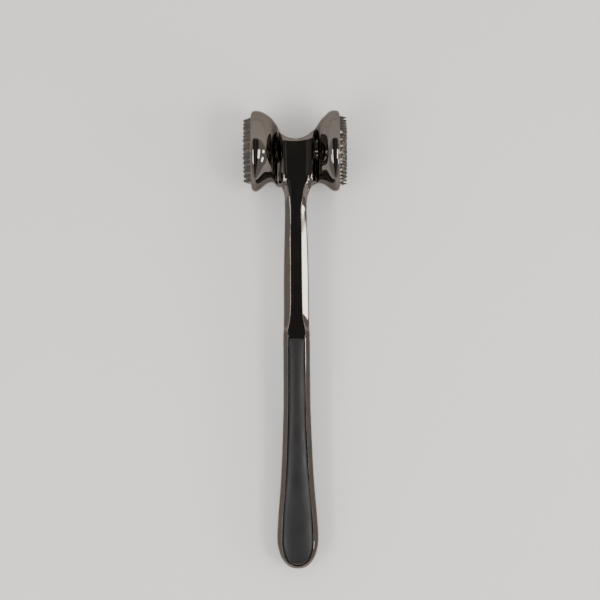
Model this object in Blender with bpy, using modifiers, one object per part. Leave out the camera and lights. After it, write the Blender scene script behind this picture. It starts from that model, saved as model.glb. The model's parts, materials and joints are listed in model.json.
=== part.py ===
"""Meat mallet: a cast body, two screwed-in tooth plates and an inlaid grip.

Units are metres.  The mallet is first built in its own frame, centred on the head:
+X runs along the head to the fine face, +Y runs up the handle to the head and +Z is its front.
The finished mallet is then tipped about X and lowered, so that it lies on z = 0
on its two bell rims and the back of its grip.
"""

import math

import bmesh
import bpy
from mathutils import Matrix, Vector

# ---------------------------------------------------------------- driving dimensions

GAP = 0.0003

# Head: two bells turned about X, joined by a waist.
BELL_RADIUS = 0.0222
FACE_X = 0.02415
LIP_DEPTH = 0.0028
LIP_RADIUS = 0.0208
WAIST_RADIUS = 0.00665
WAIST_HALF = 0.0022
COARSE_SHOULDER_REACH = 0.0094
FINE_SHOULDER_REACH = 0.0064
NECK_REACH = 0.0072
NECK_FLATNESS = 0.70
NECK_FLAT_END = 0.0165
TURN_STEPS = 44

# Mouth, cavity and cross bore of the head.
MOUTH_RADIUS = 0.0201
MOUTH_DEPTH = 0.00375
LEDGE_RADIUS = 0.0174
HUB_WALL_X = 0.0095
HUB_WALL_RADIUS = 0.0069
CROSS_BORE_RADIUS = 0.0034

# Tooth plates.
PLATE_RADIUS = MOUTH_RADIUS - GAP
PLATE_SPIGOT_RADIUS = 0.0181
PLATE_RIM = 0.00185
BOSS_RADIUS = 0.0065
BOSS_BORE_RADIUS = 0.0033
BOSS_BORE_END = 0.0179
COARSE_TOOTH = {"height": 0.0043, "base": 0.0035, "tip": 0.0005, "pitch": 0.00466, "row": 0.0041}
FINE_TOOTH = {"height": 0.0040, "base": 0.0024, "tip": 0.0004, "pitch": 0.00360, "row": 0.0031}
TOOTH_FIELD_RADIUS = 0.0196

# Fasteners and seals in the head.
STUD_RADIUS = 0.0030
STUD_END = 0.0173
WASHER_RADIUS = 0.0052
WASHER_THICKNESS = 0.0013
WASHER_SLIT = 0.0009
DOWEL_RADIUS = 0.0008
DOWEL_OFFSET = 0.00495
DOWEL_INNER_X = 0.0062
DOWEL_OUTER_X = 0.0128
SEAL_RING_RADIUS = 0.01905
SEAL_CORD_RADIUS = 0.00065

# Handle.  Each station gives y, half width, half width of the front flat and half thickness.
HANDLE_STATIONS = (
    (0.0064, 0.0082, 0.0068, 0.0054),
    (0.0050, 0.0088, 0.0072, 0.0070),
    (-0.0080, 0.0084, 0.0064, 0.0070),
    (-0.0160, 0.0082, 0.0060, 0.0070),
    (-0.0210, 0.0072, 0.0046, 0.0068),
    (-0.0260, 0.0060, 0.0036, 0.0066),
    (-0.0320, 0.0061, 0.0033, 0.0064),
    (-0.0700, 0.0070, 0.0034, 0.0062),
    (-0.0900, 0.0071, 0.0037, 0.0063),
    (-0.1000, 0.00715, 0.0050, 0.0066),
    (-0.1300, 0.0072, 0.0050, 0.0070),
    (-0.1700, 0.0084, 0.0062, 0.0073),
    (-0.1900, 0.0097, 0.0075, 0.0074),
    (-0.2100, 0.0111, 0.0089, 0.0075),
)
END_LENGTH = 0.0178
END_ROUNDNESS = 2.2
END_THINNING = 0.42
CORNER_CUT = 0.0009

# Fillets between the shaft and the bells.
FILLET_RADIUS = 0.0076
FILLET_FOOT_Y = -0.0256
FILLET_HALF_THICKNESS = 0.0052

# Grip pockets and what lies in them.
WEB_HALF = 0.0015
POCKET_TOP_Y = -0.1018
RIM_WIDTH = 0.0025
RIM_WIDTH_END = 0.0017
PANEL_CLEARANCE = 0.0004
PANEL_EDGE_DROP = 0.0005
PANEL_CROWN = 0.0011
PAD_THICKNESS = 0.0005
SCREW_STATIONS = {"upper": -0.1190, "middle": -0.1660, "lower": -0.2100}
SCREW_RADIUS = 0.0012
SCREW_HEAD_RADIUS = 0.0025
SCREW_HEAD_HEIGHT = 0.0016
SCREW_LENGTH = 0.0070
SCREW_HEAD_ROUNDING = 0.0005
SOCKET_RADIUS = 0.0011
SOCKET_DEPTH = 0.0009

COARSE = -1
FINE = 1

# Name: base colour, metallic, roughness.
FINISHES = {
    "black_nickel_casting": ((0.21, 0.195, 0.185), 1.0, 0.08),
    "black_nickel_teeth": ((0.23, 0.215, 0.205), 1.0, 0.14),
    "soft_touch_grip": ((0.032, 0.032, 0.035), 0.0, 0.55),
    "steel_fastener": ((0.55, 0.54, 0.52), 1.0, 0.32),
    "seal_rubber": ((0.03, 0.03, 0.03), 0.0, 0.70),
    "adhesive_foam": ((0.42, 0.40, 0.36), 0.0, 0.85),
}

# ---------------------------------------------------------------- scene and material helpers


def clear_scene():
    for scene_object in list(bpy.data.objects):
        bpy.data.objects.remove(scene_object)


def new_collection(name):
    collection = bpy.data.collections.new(name)
    bpy.context.scene.collection.children.link(collection)
    return collection


def finish_material(name):
    """The named finish as a Principled material, made once."""
    material = bpy.data.materials.get(name)
    if material is None:
        colour, metallic, roughness = FINISHES[name]
        material = bpy.data.materials.new(name)
        material.use_nodes = True
        shader = material.node_tree.nodes["Principled BSDF"]
        shader.inputs["Base Color"].default_value = (*colour, 1.0)
        shader.inputs["Metallic"].default_value = metallic
        shader.inputs["Roughness"].default_value = roughness
    return material


def add_part(name, mesh, finish):
    """A sub-part of the mallet."""
    part = bpy.data.objects.new(name, mesh)
    PARTS.objects.link(part)
    mesh.materials.clear()
    mesh.materials.append(finish_material(finish))
    mesh.shade_smooth()
    mesh.set_sharp_from_angle(angle=math.radians(35))
    return part


def add_guide(name, mesh):
    """A solid that only cuts or joins other solids."""
    guide = bpy.data.objects.new(name, mesh)
    GUIDES.objects.link(guide)
    guide.hide_render = True
    guide.display_type = "WIRE"
    return guide


def combine(target, guide, operation):
    modifier = target.modifiers.new(guide.name, "BOOLEAN")
    modifier.operation = operation
    modifier.object = guide
    modifier.solver = "EXACT"


def mesh_from(scene_object, name):
    """The object's evaluated shape as a new mesh in world space; the object is removed."""
    bpy.context.view_layer.update()
    evaluated = scene_object.evaluated_get(bpy.context.evaluated_depsgraph_get())
    mesh = bpy.data.meshes.new_from_object(evaluated)
    mesh.name = name
    mesh.transform(scene_object.matrix_world)
    bpy.data.objects.remove(scene_object)
    shape = bmesh.new()
    shape.from_mesh(mesh)
    bmesh.ops.remove_doubles(shape, verts=shape.verts, dist=0.000001)
    bmesh.ops.recalc_face_normals(shape, faces=shape.faces)
    shape.to_mesh(mesh)
    shape.free()
    return mesh


# ---------------------------------------------------------------- shape helpers


def turned_mesh(name, profile, steps=TURN_STEPS):
    """A shape turned about X.  The profile lists (x, radius) from the +X end to the -X end."""
    mesh = bpy.data.meshes.new(name)
    points = [(radius, 0.0, x) for x, radius in profile]
    mesh.from_pydata(points, [(i, i + 1) for i in range(len(points) - 1)], [])
    turned = bpy.data.objects.new(name, mesh)
    bpy.context.scene.collection.objects.link(turned)
    turned.rotation_euler = (0.0, math.radians(90), 0.0)
    screw = turned.modifiers.new("turn", "SCREW")
    screw.axis = "Z"
    screw.steps = steps
    screw.render_steps = steps
    screw.use_merge_vertices = True
    screw.merge_threshold = 0.00001
    return mesh_from(turned, name)


def ring_mesh(name, x_low, x_high, inner_radius, outer_radius, steps=40):
    """A plain flat ring about X."""
    corners = [
        (x_high, inner_radius),
        (x_high, outer_radius),
        (x_low, outer_radius),
        (x_low, inner_radius),
        (x_high, inner_radius),
    ]
    return turned_mesh(name, corners, steps)


def extruded_mesh(name, outline, z_low, z_high):
    """A flat outline of (x, y) points, extruded from z_low to z_high."""
    curve = bpy.data.curves.new(name, "CURVE")
    curve.dimensions = "2D"
    curve.fill_mode = "BOTH"
    curve.extrude = (z_high - z_low) / 2
    spline = curve.splines.new("POLY")
    spline.points.add(len(outline) - 1)
    for point, (x, y) in zip(spline.points, outline):
        point.co = (x, y, 0.0, 1.0)
    spline.use_cyclic_u = True
    plate = bpy.data.objects.new(name, curve)
    bpy.context.scene.collection.objects.link(plate)
    plate.location = (0.0, 0.0, (z_low + z_high) / 2)
    return mesh_from(plate, name)


def cylinder_mesh(name, radius, start, end, segments=24):
    """A cylinder between two points."""
    start = Vector(start)
    end = Vector(end)
    turn = Vector((0, 0, 1)).rotation_difference(end - start).to_matrix().to_4x4()
    shape = bmesh.new()
    bmesh.ops.create_cone(
        shape,
        cap_ends=True,
        segments=segments,
        radius1=radius,
        radius2=radius,
        depth=(end - start).length,
        matrix=Matrix.Translation((start + end) / 2) @ turn,
    )
    mesh = bpy.data.meshes.new(name)
    shape.to_mesh(mesh)
    shape.free()
    return mesh


def lofted_mesh(name, rings):
    """A closed skin through rings of points that all have the same count."""
    shape = bmesh.new()
    rows = [[shape.verts.new(point) for point in ring] for ring in rings]
    count = len(rows[0])
    for upper, lower in zip(rows, rows[1:]):
        for i in range(count):
            j = (i + 1) % count
            shape.faces.new((upper[i], upper[j], lower[j], lower[i]))
    shape.faces.new(rows[0])
    shape.faces.new(rows[-1])
    bmesh.ops.recalc_face_normals(shape, faces=shape.faces)
    mesh = bpy.data.meshes.new(name)
    shape.to_mesh(mesh)
    shape.free()
    return mesh


def bezier(p0, p1, p2, p3, t):
    s = 1.0 - t
    return tuple(
        s**3 * a + 3 * s**2 * t * b + 3 * s * t**2 * c + t**3 * d
        for a, b, c, d in zip(p0, p1, p2, p3)
    )


# ---------------------------------------------------------------- head


def bell_profile(side):
    """Outer profile of one bell, (distance from the middle, radius) from the mouth to the waist."""
    reach = COARSE_SHOULDER_REACH if side == COARSE else FINE_SHOULDER_REACH
    shoulder = FACE_X - LIP_DEPTH
    lip_steps = 4
    points = []
    for i in range(lip_steps):
        angle = math.radians(90) * i / lip_steps
        x = FACE_X - LIP_DEPTH * (1 - math.cos(angle))
        points.append((x, LIP_RADIUS + (BELL_RADIUS - LIP_RADIUS) * math.sin(angle)))
    flank_steps = 12
    for i in range(flank_steps + 1):
        start = (shoulder, BELL_RADIUS)
        start_handle = (shoulder - reach, BELL_RADIUS)
        end_handle = (WAIST_HALF + NECK_REACH, WAIST_RADIUS)
        end = (WAIST_HALF, WAIST_RADIUS)
        points.append(bezier(start, start_handle, end_handle, end, i / flank_steps))
    return points


def bells_mesh():
    """Both bells and the waist as one solid, with the neck pressed flatter front to back."""
    fine = bell_profile(FINE)
    coarse = [(-x, radius) for x, radius in reversed(bell_profile(COARSE))]
    mesh = turned_mesh("bells", [(FACE_X, 0.0)] + fine + coarse + [(-FACE_X, 0.0)])
    for vertex in mesh.vertices:
        reach = min(abs(vertex.co.x) / NECK_FLAT_END, 1.0)
        eased = reach * reach * (3 - 2 * reach)
        vertex.co.z *= NECK_FLATNESS + (1 - NECK_FLATNESS) * eased
    return mesh


def cavity_mesh():
    """What is bored out of the head: mouths, hollow bells and the cross bore."""
    past = 0.001
    half = [
        (FACE_X + past, 0.0),
        (FACE_X + past, MOUTH_RADIUS),
        (FACE_X - MOUTH_DEPTH, MOUTH_RADIUS),
        (FACE_X - MOUTH_DEPTH, LEDGE_RADIUS),
        (HUB_WALL_X, HUB_WALL_RADIUS),
        (HUB_WALL_X, CROSS_BORE_RADIUS),
    ]
    other_half = [(-x, radius) for x, radius in reversed(half)]
    return turned_mesh("head_cavity", half + other_half)


def tooth_centres(tooth):
    """(y, z) of each pyramid: rows along y, every other row shifted by half a pitch."""
    centres = []
    half_base = tooth["base"] / 2
    row_count = int(TOOTH_FIELD_RADIUS / tooth["row"])
    for row in range(-row_count, row_count + 1):
        z = row * tooth["row"]
        shift = tooth["pitch"] / 2 if row % 2 else 0.0
        column_count = int(TOOTH_FIELD_RADIUS / tooth["pitch"]) + 1
        for column in range(-column_count, column_count + 1):
            y = column * tooth["pitch"] + shift
            if math.hypot(abs(y) + half_base, abs(z) + half_base) <= TOOTH_FIELD_RADIUS:
                centres.append((y, z))
    return centres


def teeth_mesh(name, tooth, side):
    """All pyramids of one face, sunk a little into the plate."""
    root = 0.0004
    slope = (tooth["base"] - tooth["tip"]) / tooth["height"]
    shape = bmesh.new()
    for y, z in tooth_centres(tooth):
        middle = side * (FACE_X + (tooth["height"] - root) / 2)
        turn = Matrix.Rotation(side * math.radians(90), 4, "Y")
        square = Matrix.Rotation(math.radians(45), 4, "Z")
        bmesh.ops.create_cone(
            shape,
            cap_ends=True,
            segments=4,
            radius1=(tooth["base"] + slope * root) / math.sqrt(2),
            radius2=tooth["tip"] / math.sqrt(2),
            depth=tooth["height"] + root,
            matrix=Matrix.Translation((middle, y, z)) @ turn @ square,
        )
    mesh = bpy.data.meshes.new(name)
    shape.to_mesh(mesh)
    shape.free()
    return mesh


def boss_end(side):
    """Distance of a plate's boss from the middle; the fine one stops on the lock washer."""
    if side == COARSE:
        return HUB_WALL_X + GAP
    return HUB_WALL_X + WASHER_THICKNESS + 2 * GAP


def build_tooth_plate(name, tooth, side):
    seat = FACE_X - MOUTH_DEPTH + GAP
    profile = [
        (FACE_X, 0.0),
        (FACE_X, PLATE_RADIUS - 0.0004),
        (FACE_X - 0.0004, PLATE_RADIUS),
        (FACE_X - PLATE_RIM, PLATE_RADIUS),
        (FACE_X - PLATE_RIM, PLATE_SPIGOT_RADIUS),
        (seat, PLATE_SPIGOT_RADIUS),
        (seat, BOSS_RADIUS),
        (boss_end(side), BOSS_RADIUS),
        (boss_end(side), BOSS_BORE_RADIUS),
        (BOSS_BORE_END, BOSS_BORE_RADIUS),
        (BOSS_BORE_END, 0.0),
    ]
    if side == COARSE:
        profile = [(-x, radius) for x, radius in reversed(profile)]
    plate = add_part(name, turned_mesh(name, profile), "black_nickel_teeth")
    teeth = add_guide(name + "_teeth", teeth_mesh(name + "_teeth", tooth, side))
    combine(plate, teeth, "UNION")
    return plate


def build_seal(name, side):
    x = side * (FACE_X - MOUTH_DEPTH + GAP + SEAL_CORD_RADIUS)
    bpy.ops.mesh.primitive_torus_add(
        location=(x, 0.0, 0.0),
        rotation=(0.0, math.radians(90), 0.0),
        major_segments=36,
        minor_segments=6,
        major_radius=SEAL_RING_RADIUS,
        minor_radius=SEAL_CORD_RADIUS,
    )
    return add_part(name, mesh_from(bpy.context.object, name), "seal_rubber")


def build_tie_stud():
    chamfer = 0.0006
    relief_half = 0.0080
    relief_radius = STUD_RADIUS - 0.0004
    half = [
        (STUD_END, 0.0),
        (STUD_END, STUD_RADIUS - chamfer),
        (STUD_END - chamfer, STUD_RADIUS),
        (relief_half, STUD_RADIUS),
        (relief_half - chamfer, relief_radius),
    ]
    other_half = [(-x, radius) for x, radius in reversed(half)]
    mesh = turned_mesh("plate_tie_stud", half + other_half, 24)
    return add_part("plate_tie_stud", mesh, "steel_fastener")


def build_lock_washer():
    x_low = HUB_WALL_X + GAP
    mesh = ring_mesh("lock_washer", x_low, x_low + WASHER_THICKNESS, CROSS_BORE_RADIUS, WASHER_RADIUS)
    washer = add_part("lock_washer", mesh, "steel_fastener")
    half_slit = WASHER_SLIT / 2
    outline = [(0.0, -half_slit), (0.02, -half_slit), (0.02, half_slit), (0.0, half_slit)]
    slit = add_guide("washer_slit", extruded_mesh("washer_slit", outline, 0.0, WASHER_RADIUS * 2))
    combine(washer, slit, "DIFFERENCE")
    return washer


def dowel_mesh(name, radius, end_gap):
    start = (-DOWEL_OUTER_X - end_gap, -DOWEL_OFFSET, 0.0)
    end = (-DOWEL_INNER_X + end_gap, -DOWEL_OFFSET, 0.0)
    return cylinder_mesh(name, radius, start, end, 16)


# ---------------------------------------------------------------- handle


def eased_row(y):
    """Sizes at y on the handle, eased between the stations without overshoot."""
    rows = HANDLE_STATIONS
    index = 0
    while index < len(rows) - 2 and y < rows[index + 1][0]:
        index += 1
    upper = rows[index]
    lower = rows[index + 1]
    span = upper[0] - lower[0]
    t = min(max((upper[0] - y) / span, 0.0), 1.0)
    sizes = []
    for column in (1, 2, 3):
        start_slope = station_slope(index, column) * span
        end_slope = station_slope(index + 1, column) * span
        sizes.append(
            (2 * t**3 - 3 * t**2 + 1) * upper[column]
            + (t**3 - 2 * t**2 + t) * start_slope
            + (3 * t**2 - 2 * t**3) * lower[column]
            + (t**3 - t**2) * end_slope
        )
    return sizes


def station_slope(index, column):
    """Change of a size per metre down the handle, level at the ends and at each turning point."""
    rows = HANDLE_STATIONS
    if index in (0, len(rows) - 1):
        return 0.0
    before = (rows[index][column] - rows[index - 1][column]) / (rows[index - 1][0] - rows[index][0])
    after = (rows[index + 1][column] - rows[index][column]) / (rows[index][0] - rows[index + 1][0])
    if before * after <= 0:
        return 0.0
    return 2 * before * after / (before + after)


def handle_sizes(y):
    """Half width, half width of the front flat and half thickness at y, with the rounded end."""
    end_start = HANDLE_STATIONS[-1][0]
    half_width, flat, half_thickness = eased_row(y)
    if y < end_start:
        past = min((end_start - y) / END_LENGTH, 1.0)
        half_width *= (1 - past**END_ROUNDNESS) ** (1 / END_ROUNDNESS)
        half_thickness *= 1 - END_THINNING * (1 - math.sqrt(1 - past**3))
        flat = max(half_width - 0.0022, 0.45 * half_width)
    return half_width, flat, half_thickness


def end_stations(first_angle, last_angle, count):
    """y values that crowd towards the tip of the rounded end."""
    angles = [first_angle + (last_angle - first_angle) * i / (count - 1) for i in range(count)]
    start = HANDLE_STATIONS[-1][0]
    return [start - END_LENGTH * math.sin(math.radians(a)) ** (2 / END_ROUNDNESS) for a in angles]


def handle_section(y):
    """Ring of an octagonal section at y with its corners rounded."""
    half_width, flat, half_thickness = handle_sizes(y)
    side = half_thickness - 0.9 * (half_width - flat)
    quarter = [(flat, half_thickness), (half_width, side)]
    corners = quarter + [(x, -z) for x, z in reversed(quarter)]
    corners += [(-x, z) for x, z in reversed(corners)]
    ring = []
    for i, corner in enumerate(corners):
        here = Vector(corner)
        before = Vector(corners[i - 1]) - here
        after = Vector(corners[(i + 1) % len(corners)]) - here
        start = here + before.normalized() * min(CORNER_CUT, before.length * 0.35)
        end = here + after.normalized() * min(CORNER_CUT, after.length * 0.35)
        for point in (start, (start + end + 2 * here) / 4, end):
            ring.append((point.x, y, point.y))
    return ring


def handle_mesh():
    """Hub bar, shaft and grip frame in one loft, before the pockets are cut."""
    ys = []
    for upper, lower in zip(HANDLE_STATIONS, HANDLE_STATIONS[1:]):
        steps = 4 if upper[0] - lower[0] > 0.015 else 2
        ys += [upper[0] + (lower[0] - upper[0]) * i / steps for i in range(steps)]
    ys += end_stations(0.0, 86.0, 9)
    return lofted_mesh("body_casting", [handle_section(y) for y in ys])


def fillet_outline():
    """Plan of the webs that run from the shaft out under both bells."""
    shaft_half = handle_sizes(FILLET_FOOT_Y)[0]
    centre_x = shaft_half + FILLET_RADIUS
    steps = 8
    arc = []
    for i in range(steps + 1):
        angle = math.radians(180 - 90 * i / steps)
        x = centre_x + FILLET_RADIUS * math.cos(angle)
        arc.append((x, FILLET_FOOT_Y + FILLET_RADIUS * math.sin(angle)))
    half = [(shaft_half - 0.0012, FILLET_FOOT_Y)] + arc[1:] + [(centre_x, -0.0110)]
    return half + [(-x, y) for x, y in reversed(half)]


def grip_outline(inset, top_y):
    """Plan of the grip, moved inwards from the handle's own outline, from top_y to the end."""
    end_start = HANDLE_STATIONS[-1][0]
    straight_steps = 16
    ys = [top_y + (end_start - top_y) * i / straight_steps for i in range(straight_steps)]
    ys += end_stations(0.0, 90.0, 10)
    edge = [Vector((handle_sizes(y)[0], y)) for y in ys]
    beyond_tip = Vector((-edge[-2].x, edge[-2].y))
    half = []
    for i, point in enumerate(edge):
        before = edge[max(i - 1, 0)]
        after = edge[i + 1] if i + 1 < len(edge) else beyond_tip
        along = (after - before).normalized()
        towards_end = min(max((end_start - point.y) / END_LENGTH, 0.0), 1.0)
        distance = inset + (RIM_WIDTH_END - RIM_WIDTH) * towards_end
        half.append(point + Vector((along.y, -along.x)) * distance)
    corner = 0.0009
    top_x = half[0].x
    rounded_top = [(top_x - corner, top_y), (top_x - 0.3 * corner, top_y - 0.3 * corner)]
    side = rounded_top + [(p.x, p.y) for p in half[:-1] if p.y < top_y - corner]
    return side + [(0.0, half[-1].y)] + [(-x, y) for x, y in reversed(side)]


def panel_mesh(name, facing):
    """A grip panel: flat underneath, crowned outside, facing +1 for the front and -1 for the rear."""
    under = WEB_HALF + PAD_THICKNESS + 2 * GAP
    outline = grip_outline(RIM_WIDTH + PANEL_CLEARANCE, POCKET_TOP_Y - PANEL_CLEARANCE)
    half = [(x, y) for x, y in outline if x > 0.0002]
    top_y = half[0][1]
    tip_y = min(y for x, y in outline)
    across = 8
    rings = []
    for x_half, y in half:
        from_end = min(top_y - y, y - tip_y)
        rise = min(from_end / 0.009, 1.0)
        crown = (PANEL_CROWN + PANEL_EDGE_DROP) * math.sqrt(1 - (1 - rise) ** 2)
        edge = handle_sizes(y)[2] - PANEL_EDGE_DROP - 0.0004 * (1 - rise)
        ring = [(-x_half, y, facing * under)]
        for i in range(across + 1):
            u = 2 * i / across - 1
            ring.append((u * x_half, y, facing * (edge + crown * (1 - u * u) ** 0.6)))
        ring.append((x_half, y, facing * under))
        rings.append(ring)
    return lofted_mesh(name, rings)


def screw_mesh(name, y):
    """Pan-head screw along z, its head behind the web."""
    head_top = -(WEB_HALF + GAP)
    shape = bmesh.new()
    shape.from_mesh(cylinder_mesh(name + "_head", SCREW_HEAD_RADIUS,
                                  (0.0, y, head_top - SCREW_HEAD_HEIGHT), (0.0, y, head_top)))
    outer_face = min(shape.faces, key=lambda face: face.calc_center_median().z)
    bmesh.ops.bevel(shape, geom=list(outer_face.edges), offset=SCREW_HEAD_ROUNDING, segments=2, profile=0.5,
                    affect="EDGES", clamp_overlap=True)
    mesh = bpy.data.meshes.new(name)
    shape.to_mesh(mesh)
    shape.free()
    return mesh


def drill(target, name, radius, start, end):
    combine(target, add_guide(name, cylinder_mesh(name, radius, start, end)), "DIFFERENCE")


def build_panel_screw(where, y):
    name = "panel_screw_" + where
    screw = add_part(name, screw_mesh(name, y), "steel_fastener")
    head_top = -(WEB_HALF + GAP)
    shank = cylinder_mesh(name + "_shank", SCREW_RADIUS, (0.0, y, head_top - 0.0004),
                          (0.0, y, head_top + SCREW_LENGTH), 16)
    combine(screw, add_guide(name + "_shank", shank), "UNION")
    outer = head_top - SCREW_HEAD_HEIGHT
    socket = cylinder_mesh(name + "_socket", SOCKET_RADIUS, (0.0, y, outer - SOCKET_DEPTH),
                           (0.0, y, outer + SOCKET_DEPTH), 6)
    combine(screw, add_guide(name + "_socket", socket), "DIFFERENCE")
    return screw


def build_grip():
    pocket = grip_outline(RIM_WIDTH, POCKET_TOP_Y)
    pad_outline = grip_outline(RIM_WIDTH + PANEL_CLEARANCE, POCKET_TOP_Y - PANEL_CLEARANCE)
    pad_low = WEB_HALF + GAP
    pad_high = pad_low + PAD_THICKNESS
    gasket = add_part("front_panel_gasket",
                      extruded_mesh("front_panel_gasket", pad_outline, pad_low, pad_high), "seal_rubber")
    pad = add_part("rear_adhesive_pad",
                   extruded_mesh("rear_adhesive_pad", pad_outline, -pad_high, -pad_low), "adhesive_foam")
    front = add_part("front_grip_panel", panel_mesh("front_grip_panel", 1), "soft_touch_grip")
    rear = add_part("rear_grip_panel", panel_mesh("rear_grip_panel", -1), "soft_touch_grip")
    head_low = -(WEB_HALF + GAP + SCREW_HEAD_HEIGHT + GAP)
    shank_high = -(WEB_HALF + GAP) + SCREW_LENGTH + GAP
    for where, y in SCREW_STATIONS.items():
        build_panel_screw(where, y)
        through = SCREW_RADIUS + GAP
        drill(gasket, "gasket_hole_" + where, through, (0.0, y, 0.0), (0.0, y, 0.004))
        drill(front, "front_pilot_" + where, through, (0.0, y, 0.0), (0.0, y, shank_high))
        clear = SCREW_HEAD_RADIUS + GAP
        drill(pad, "pad_hole_" + where, clear, (0.0, y, -0.004), (0.0, y, 0.0))
        drill(rear, "rear_recess_" + where, clear, (0.0, y, head_low), (0.0, y, 0.0))
    return pocket


def build_body(pocket):
    body = add_part("body_casting", handle_mesh(), "black_nickel_casting")
    combine(body, add_guide("bells", bells_mesh()), "UNION")
    webs = extruded_mesh("fillet_webs", fillet_outline(), -FILLET_HALF_THICKNESS, FILLET_HALF_THICKNESS)
    combine(body, add_guide("fillet_webs", webs), "UNION")
    combine(body, add_guide("head_cavity", cavity_mesh()), "DIFFERENCE")
    dowel_hole = dowel_mesh("dowel_hole", DOWEL_RADIUS + GAP, GAP)
    combine(body, add_guide("dowel_hole", dowel_hole), "DIFFERENCE")
    front = extruded_mesh("front_pocket", pocket, WEB_HALF, 0.012)
    combine(body, add_guide("front_pocket", front), "DIFFERENCE")
    rear = extruded_mesh("rear_pocket", pocket, -0.012, -WEB_HALF)
    combine(body, add_guide("rear_pocket", rear), "DIFFERENCE")
    for where, y in SCREW_STATIONS.items():
        drill(body, "web_hole_" + where, SCREW_RADIUS + GAP, (0.0, y, -0.003), (0.0, y, 0.003))
    return body


def build_head_pieces():
    coarse = build_tooth_plate("coarse_tooth_plate", COARSE_TOOTH, COARSE)
    combine(coarse, bpy.data.objects["dowel_hole"], "DIFFERENCE")
    build_tooth_plate("fine_tooth_plate", FINE_TOOTH, FINE)
    build_seal("coarse_plate_seal", COARSE)
    build_seal("fine_plate_seal", FINE)
    build_tie_stud()
    build_lock_washer()
    add_part("plate_dowel", dowel_mesh("plate_dowel", DOWEL_RADIUS, 0.0), "steel_fastener")


# ---------------------------------------------------------------- lying on the floor


def world_points(parts):
    """Every corner of the parts' finished shapes."""
    graph = bpy.context.evaluated_depsgraph_get()
    points = []
    for part in parts:
        evaluated = part.evaluated_get(graph)
        mesh = evaluated.to_mesh()
        points += [part.matrix_world @ vertex.co for vertex in mesh.vertices]
        evaluated.to_mesh_clear()
    return points


def lay_down(parts):
    """Tip the mallet about X until bells and grip end touch one floor, and centre it on the origin."""
    points = world_points(parts)
    head = [p for p in points if p.y > -0.05]
    grip = [p for p in points if p.y < -0.10]
    tilt = 0.0
    for _ in range(20):
        sine = math.sin(tilt)
        cosine = math.cos(tilt)
        head_low = min(head, key=lambda p: p.z * cosine + p.y * sine)
        grip_low = min(grip, key=lambda p: p.z * cosine + p.y * sine)
        tilt = math.atan2(grip_low.z - head_low.z, head_low.y - grip_low.y)
    turn = Matrix.Rotation(tilt, 4, "X")
    turned = [turn @ p for p in points]
    lows = [min(p[axis] for p in turned) for axis in range(3)]
    highs = [max(p[axis] for p in turned) for axis in range(3)]
    stand = bpy.data.objects.new("mallet_rest", None)
    PARTS.objects.link(stand)
    stand.rotation_euler = (tilt, 0.0, 0.0)
    stand.location = (-(lows[0] + highs[0]) / 2, -(lows[1] + highs[1]) / 2, -lows[2])
    for piece in list(PARTS.objects) + list(GUIDES.objects):
        if piece is not stand:
            piece.parent = stand
    return stand


clear_scene()
PARTS = new_collection("meat_mallet")
GUIDES = new_collection("cutters")
POCKET_OUTLINE = build_grip()
build_body(POCKET_OUTLINE)
build_head_pieces()
bpy.context.view_layer.update()
lay_down(list(PARTS.objects))
bpy.context.view_layer.update()
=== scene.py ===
"""Looks of a two-faced meat mallet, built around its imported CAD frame.

The mallet is shaped in its own upright frame: the origin is the middle of the head, +X runs along
the head to the fine face, +Y runs up the handle to the head and +Z is the front.  A finished
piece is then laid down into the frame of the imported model.  Every length is in metres.
"""

import json
import logging
import math
from dataclasses import dataclass, field
from enum import Enum
from typing import Callable, Iterable, Sequence

import bmesh
import bpy
from mathutils import Matrix, Vector


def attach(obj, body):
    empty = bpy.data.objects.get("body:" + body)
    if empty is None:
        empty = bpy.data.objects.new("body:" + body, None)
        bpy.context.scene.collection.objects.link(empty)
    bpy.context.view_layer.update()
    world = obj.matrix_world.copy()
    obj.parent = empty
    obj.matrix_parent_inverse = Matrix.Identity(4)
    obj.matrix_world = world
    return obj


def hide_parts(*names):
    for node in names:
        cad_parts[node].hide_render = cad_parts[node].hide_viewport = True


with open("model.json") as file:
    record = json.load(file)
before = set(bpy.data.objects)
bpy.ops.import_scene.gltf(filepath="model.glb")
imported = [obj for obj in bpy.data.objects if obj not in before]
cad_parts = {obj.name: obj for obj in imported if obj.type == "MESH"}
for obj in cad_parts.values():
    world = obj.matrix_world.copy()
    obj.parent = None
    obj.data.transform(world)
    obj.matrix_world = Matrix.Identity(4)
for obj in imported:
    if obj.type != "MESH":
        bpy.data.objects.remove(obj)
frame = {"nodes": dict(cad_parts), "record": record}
bpy.context.view_layer.update()

LOG = logging.getLogger("meat_mallet")
Point = tuple[float, float, float]
Range = tuple[float, float]
Rows = Sequence[Sequence[int]]
Piece = bpy.types.Object
Node = bpy.types.Node
Socket = bpy.types.NodeSocket
Outputs = bpy.types.NodeOutputs


class Side(Enum):
    """End of the head that a face piece belongs to."""

    COARSE = -1
    FINE = 1


class Facing(Enum):
    """Side of the grip that a piece lies on."""

    REAR = -1
    FRONT = 1


# ------------------------------------------------------------------------------ placing


@dataclass(frozen=True)
class RestFrame:
    """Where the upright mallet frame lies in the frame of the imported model."""

    matrix: Matrix

    @classmethod
    def from_record(cls, record: dict, mount_place: Point) -> "RestFrame":
        """Reads the tilt and the place from the front mount of the hub.

        Args:
            record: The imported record.
            mount_place: Where that mount is in the upright frame.

        Returns:
            The frame that lays a piece down.
        """
        mount = next(m for m in record["mounts"] if m["name"] == "front_hub_flat")
        axis = Vector(mount["axis"])
        tilt = Matrix.Rotation(math.atan2(-axis.y, axis.z), 4, "X")
        origin = Vector(mount["pos_m"]) - tilt @ Vector(mount_place)
        return cls(Matrix.Translation(origin) @ tilt)

    def lay(self, piece: Piece) -> None:
        """Moves a piece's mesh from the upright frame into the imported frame."""
        piece.data.transform(self.matrix)
        piece.data.update()


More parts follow.
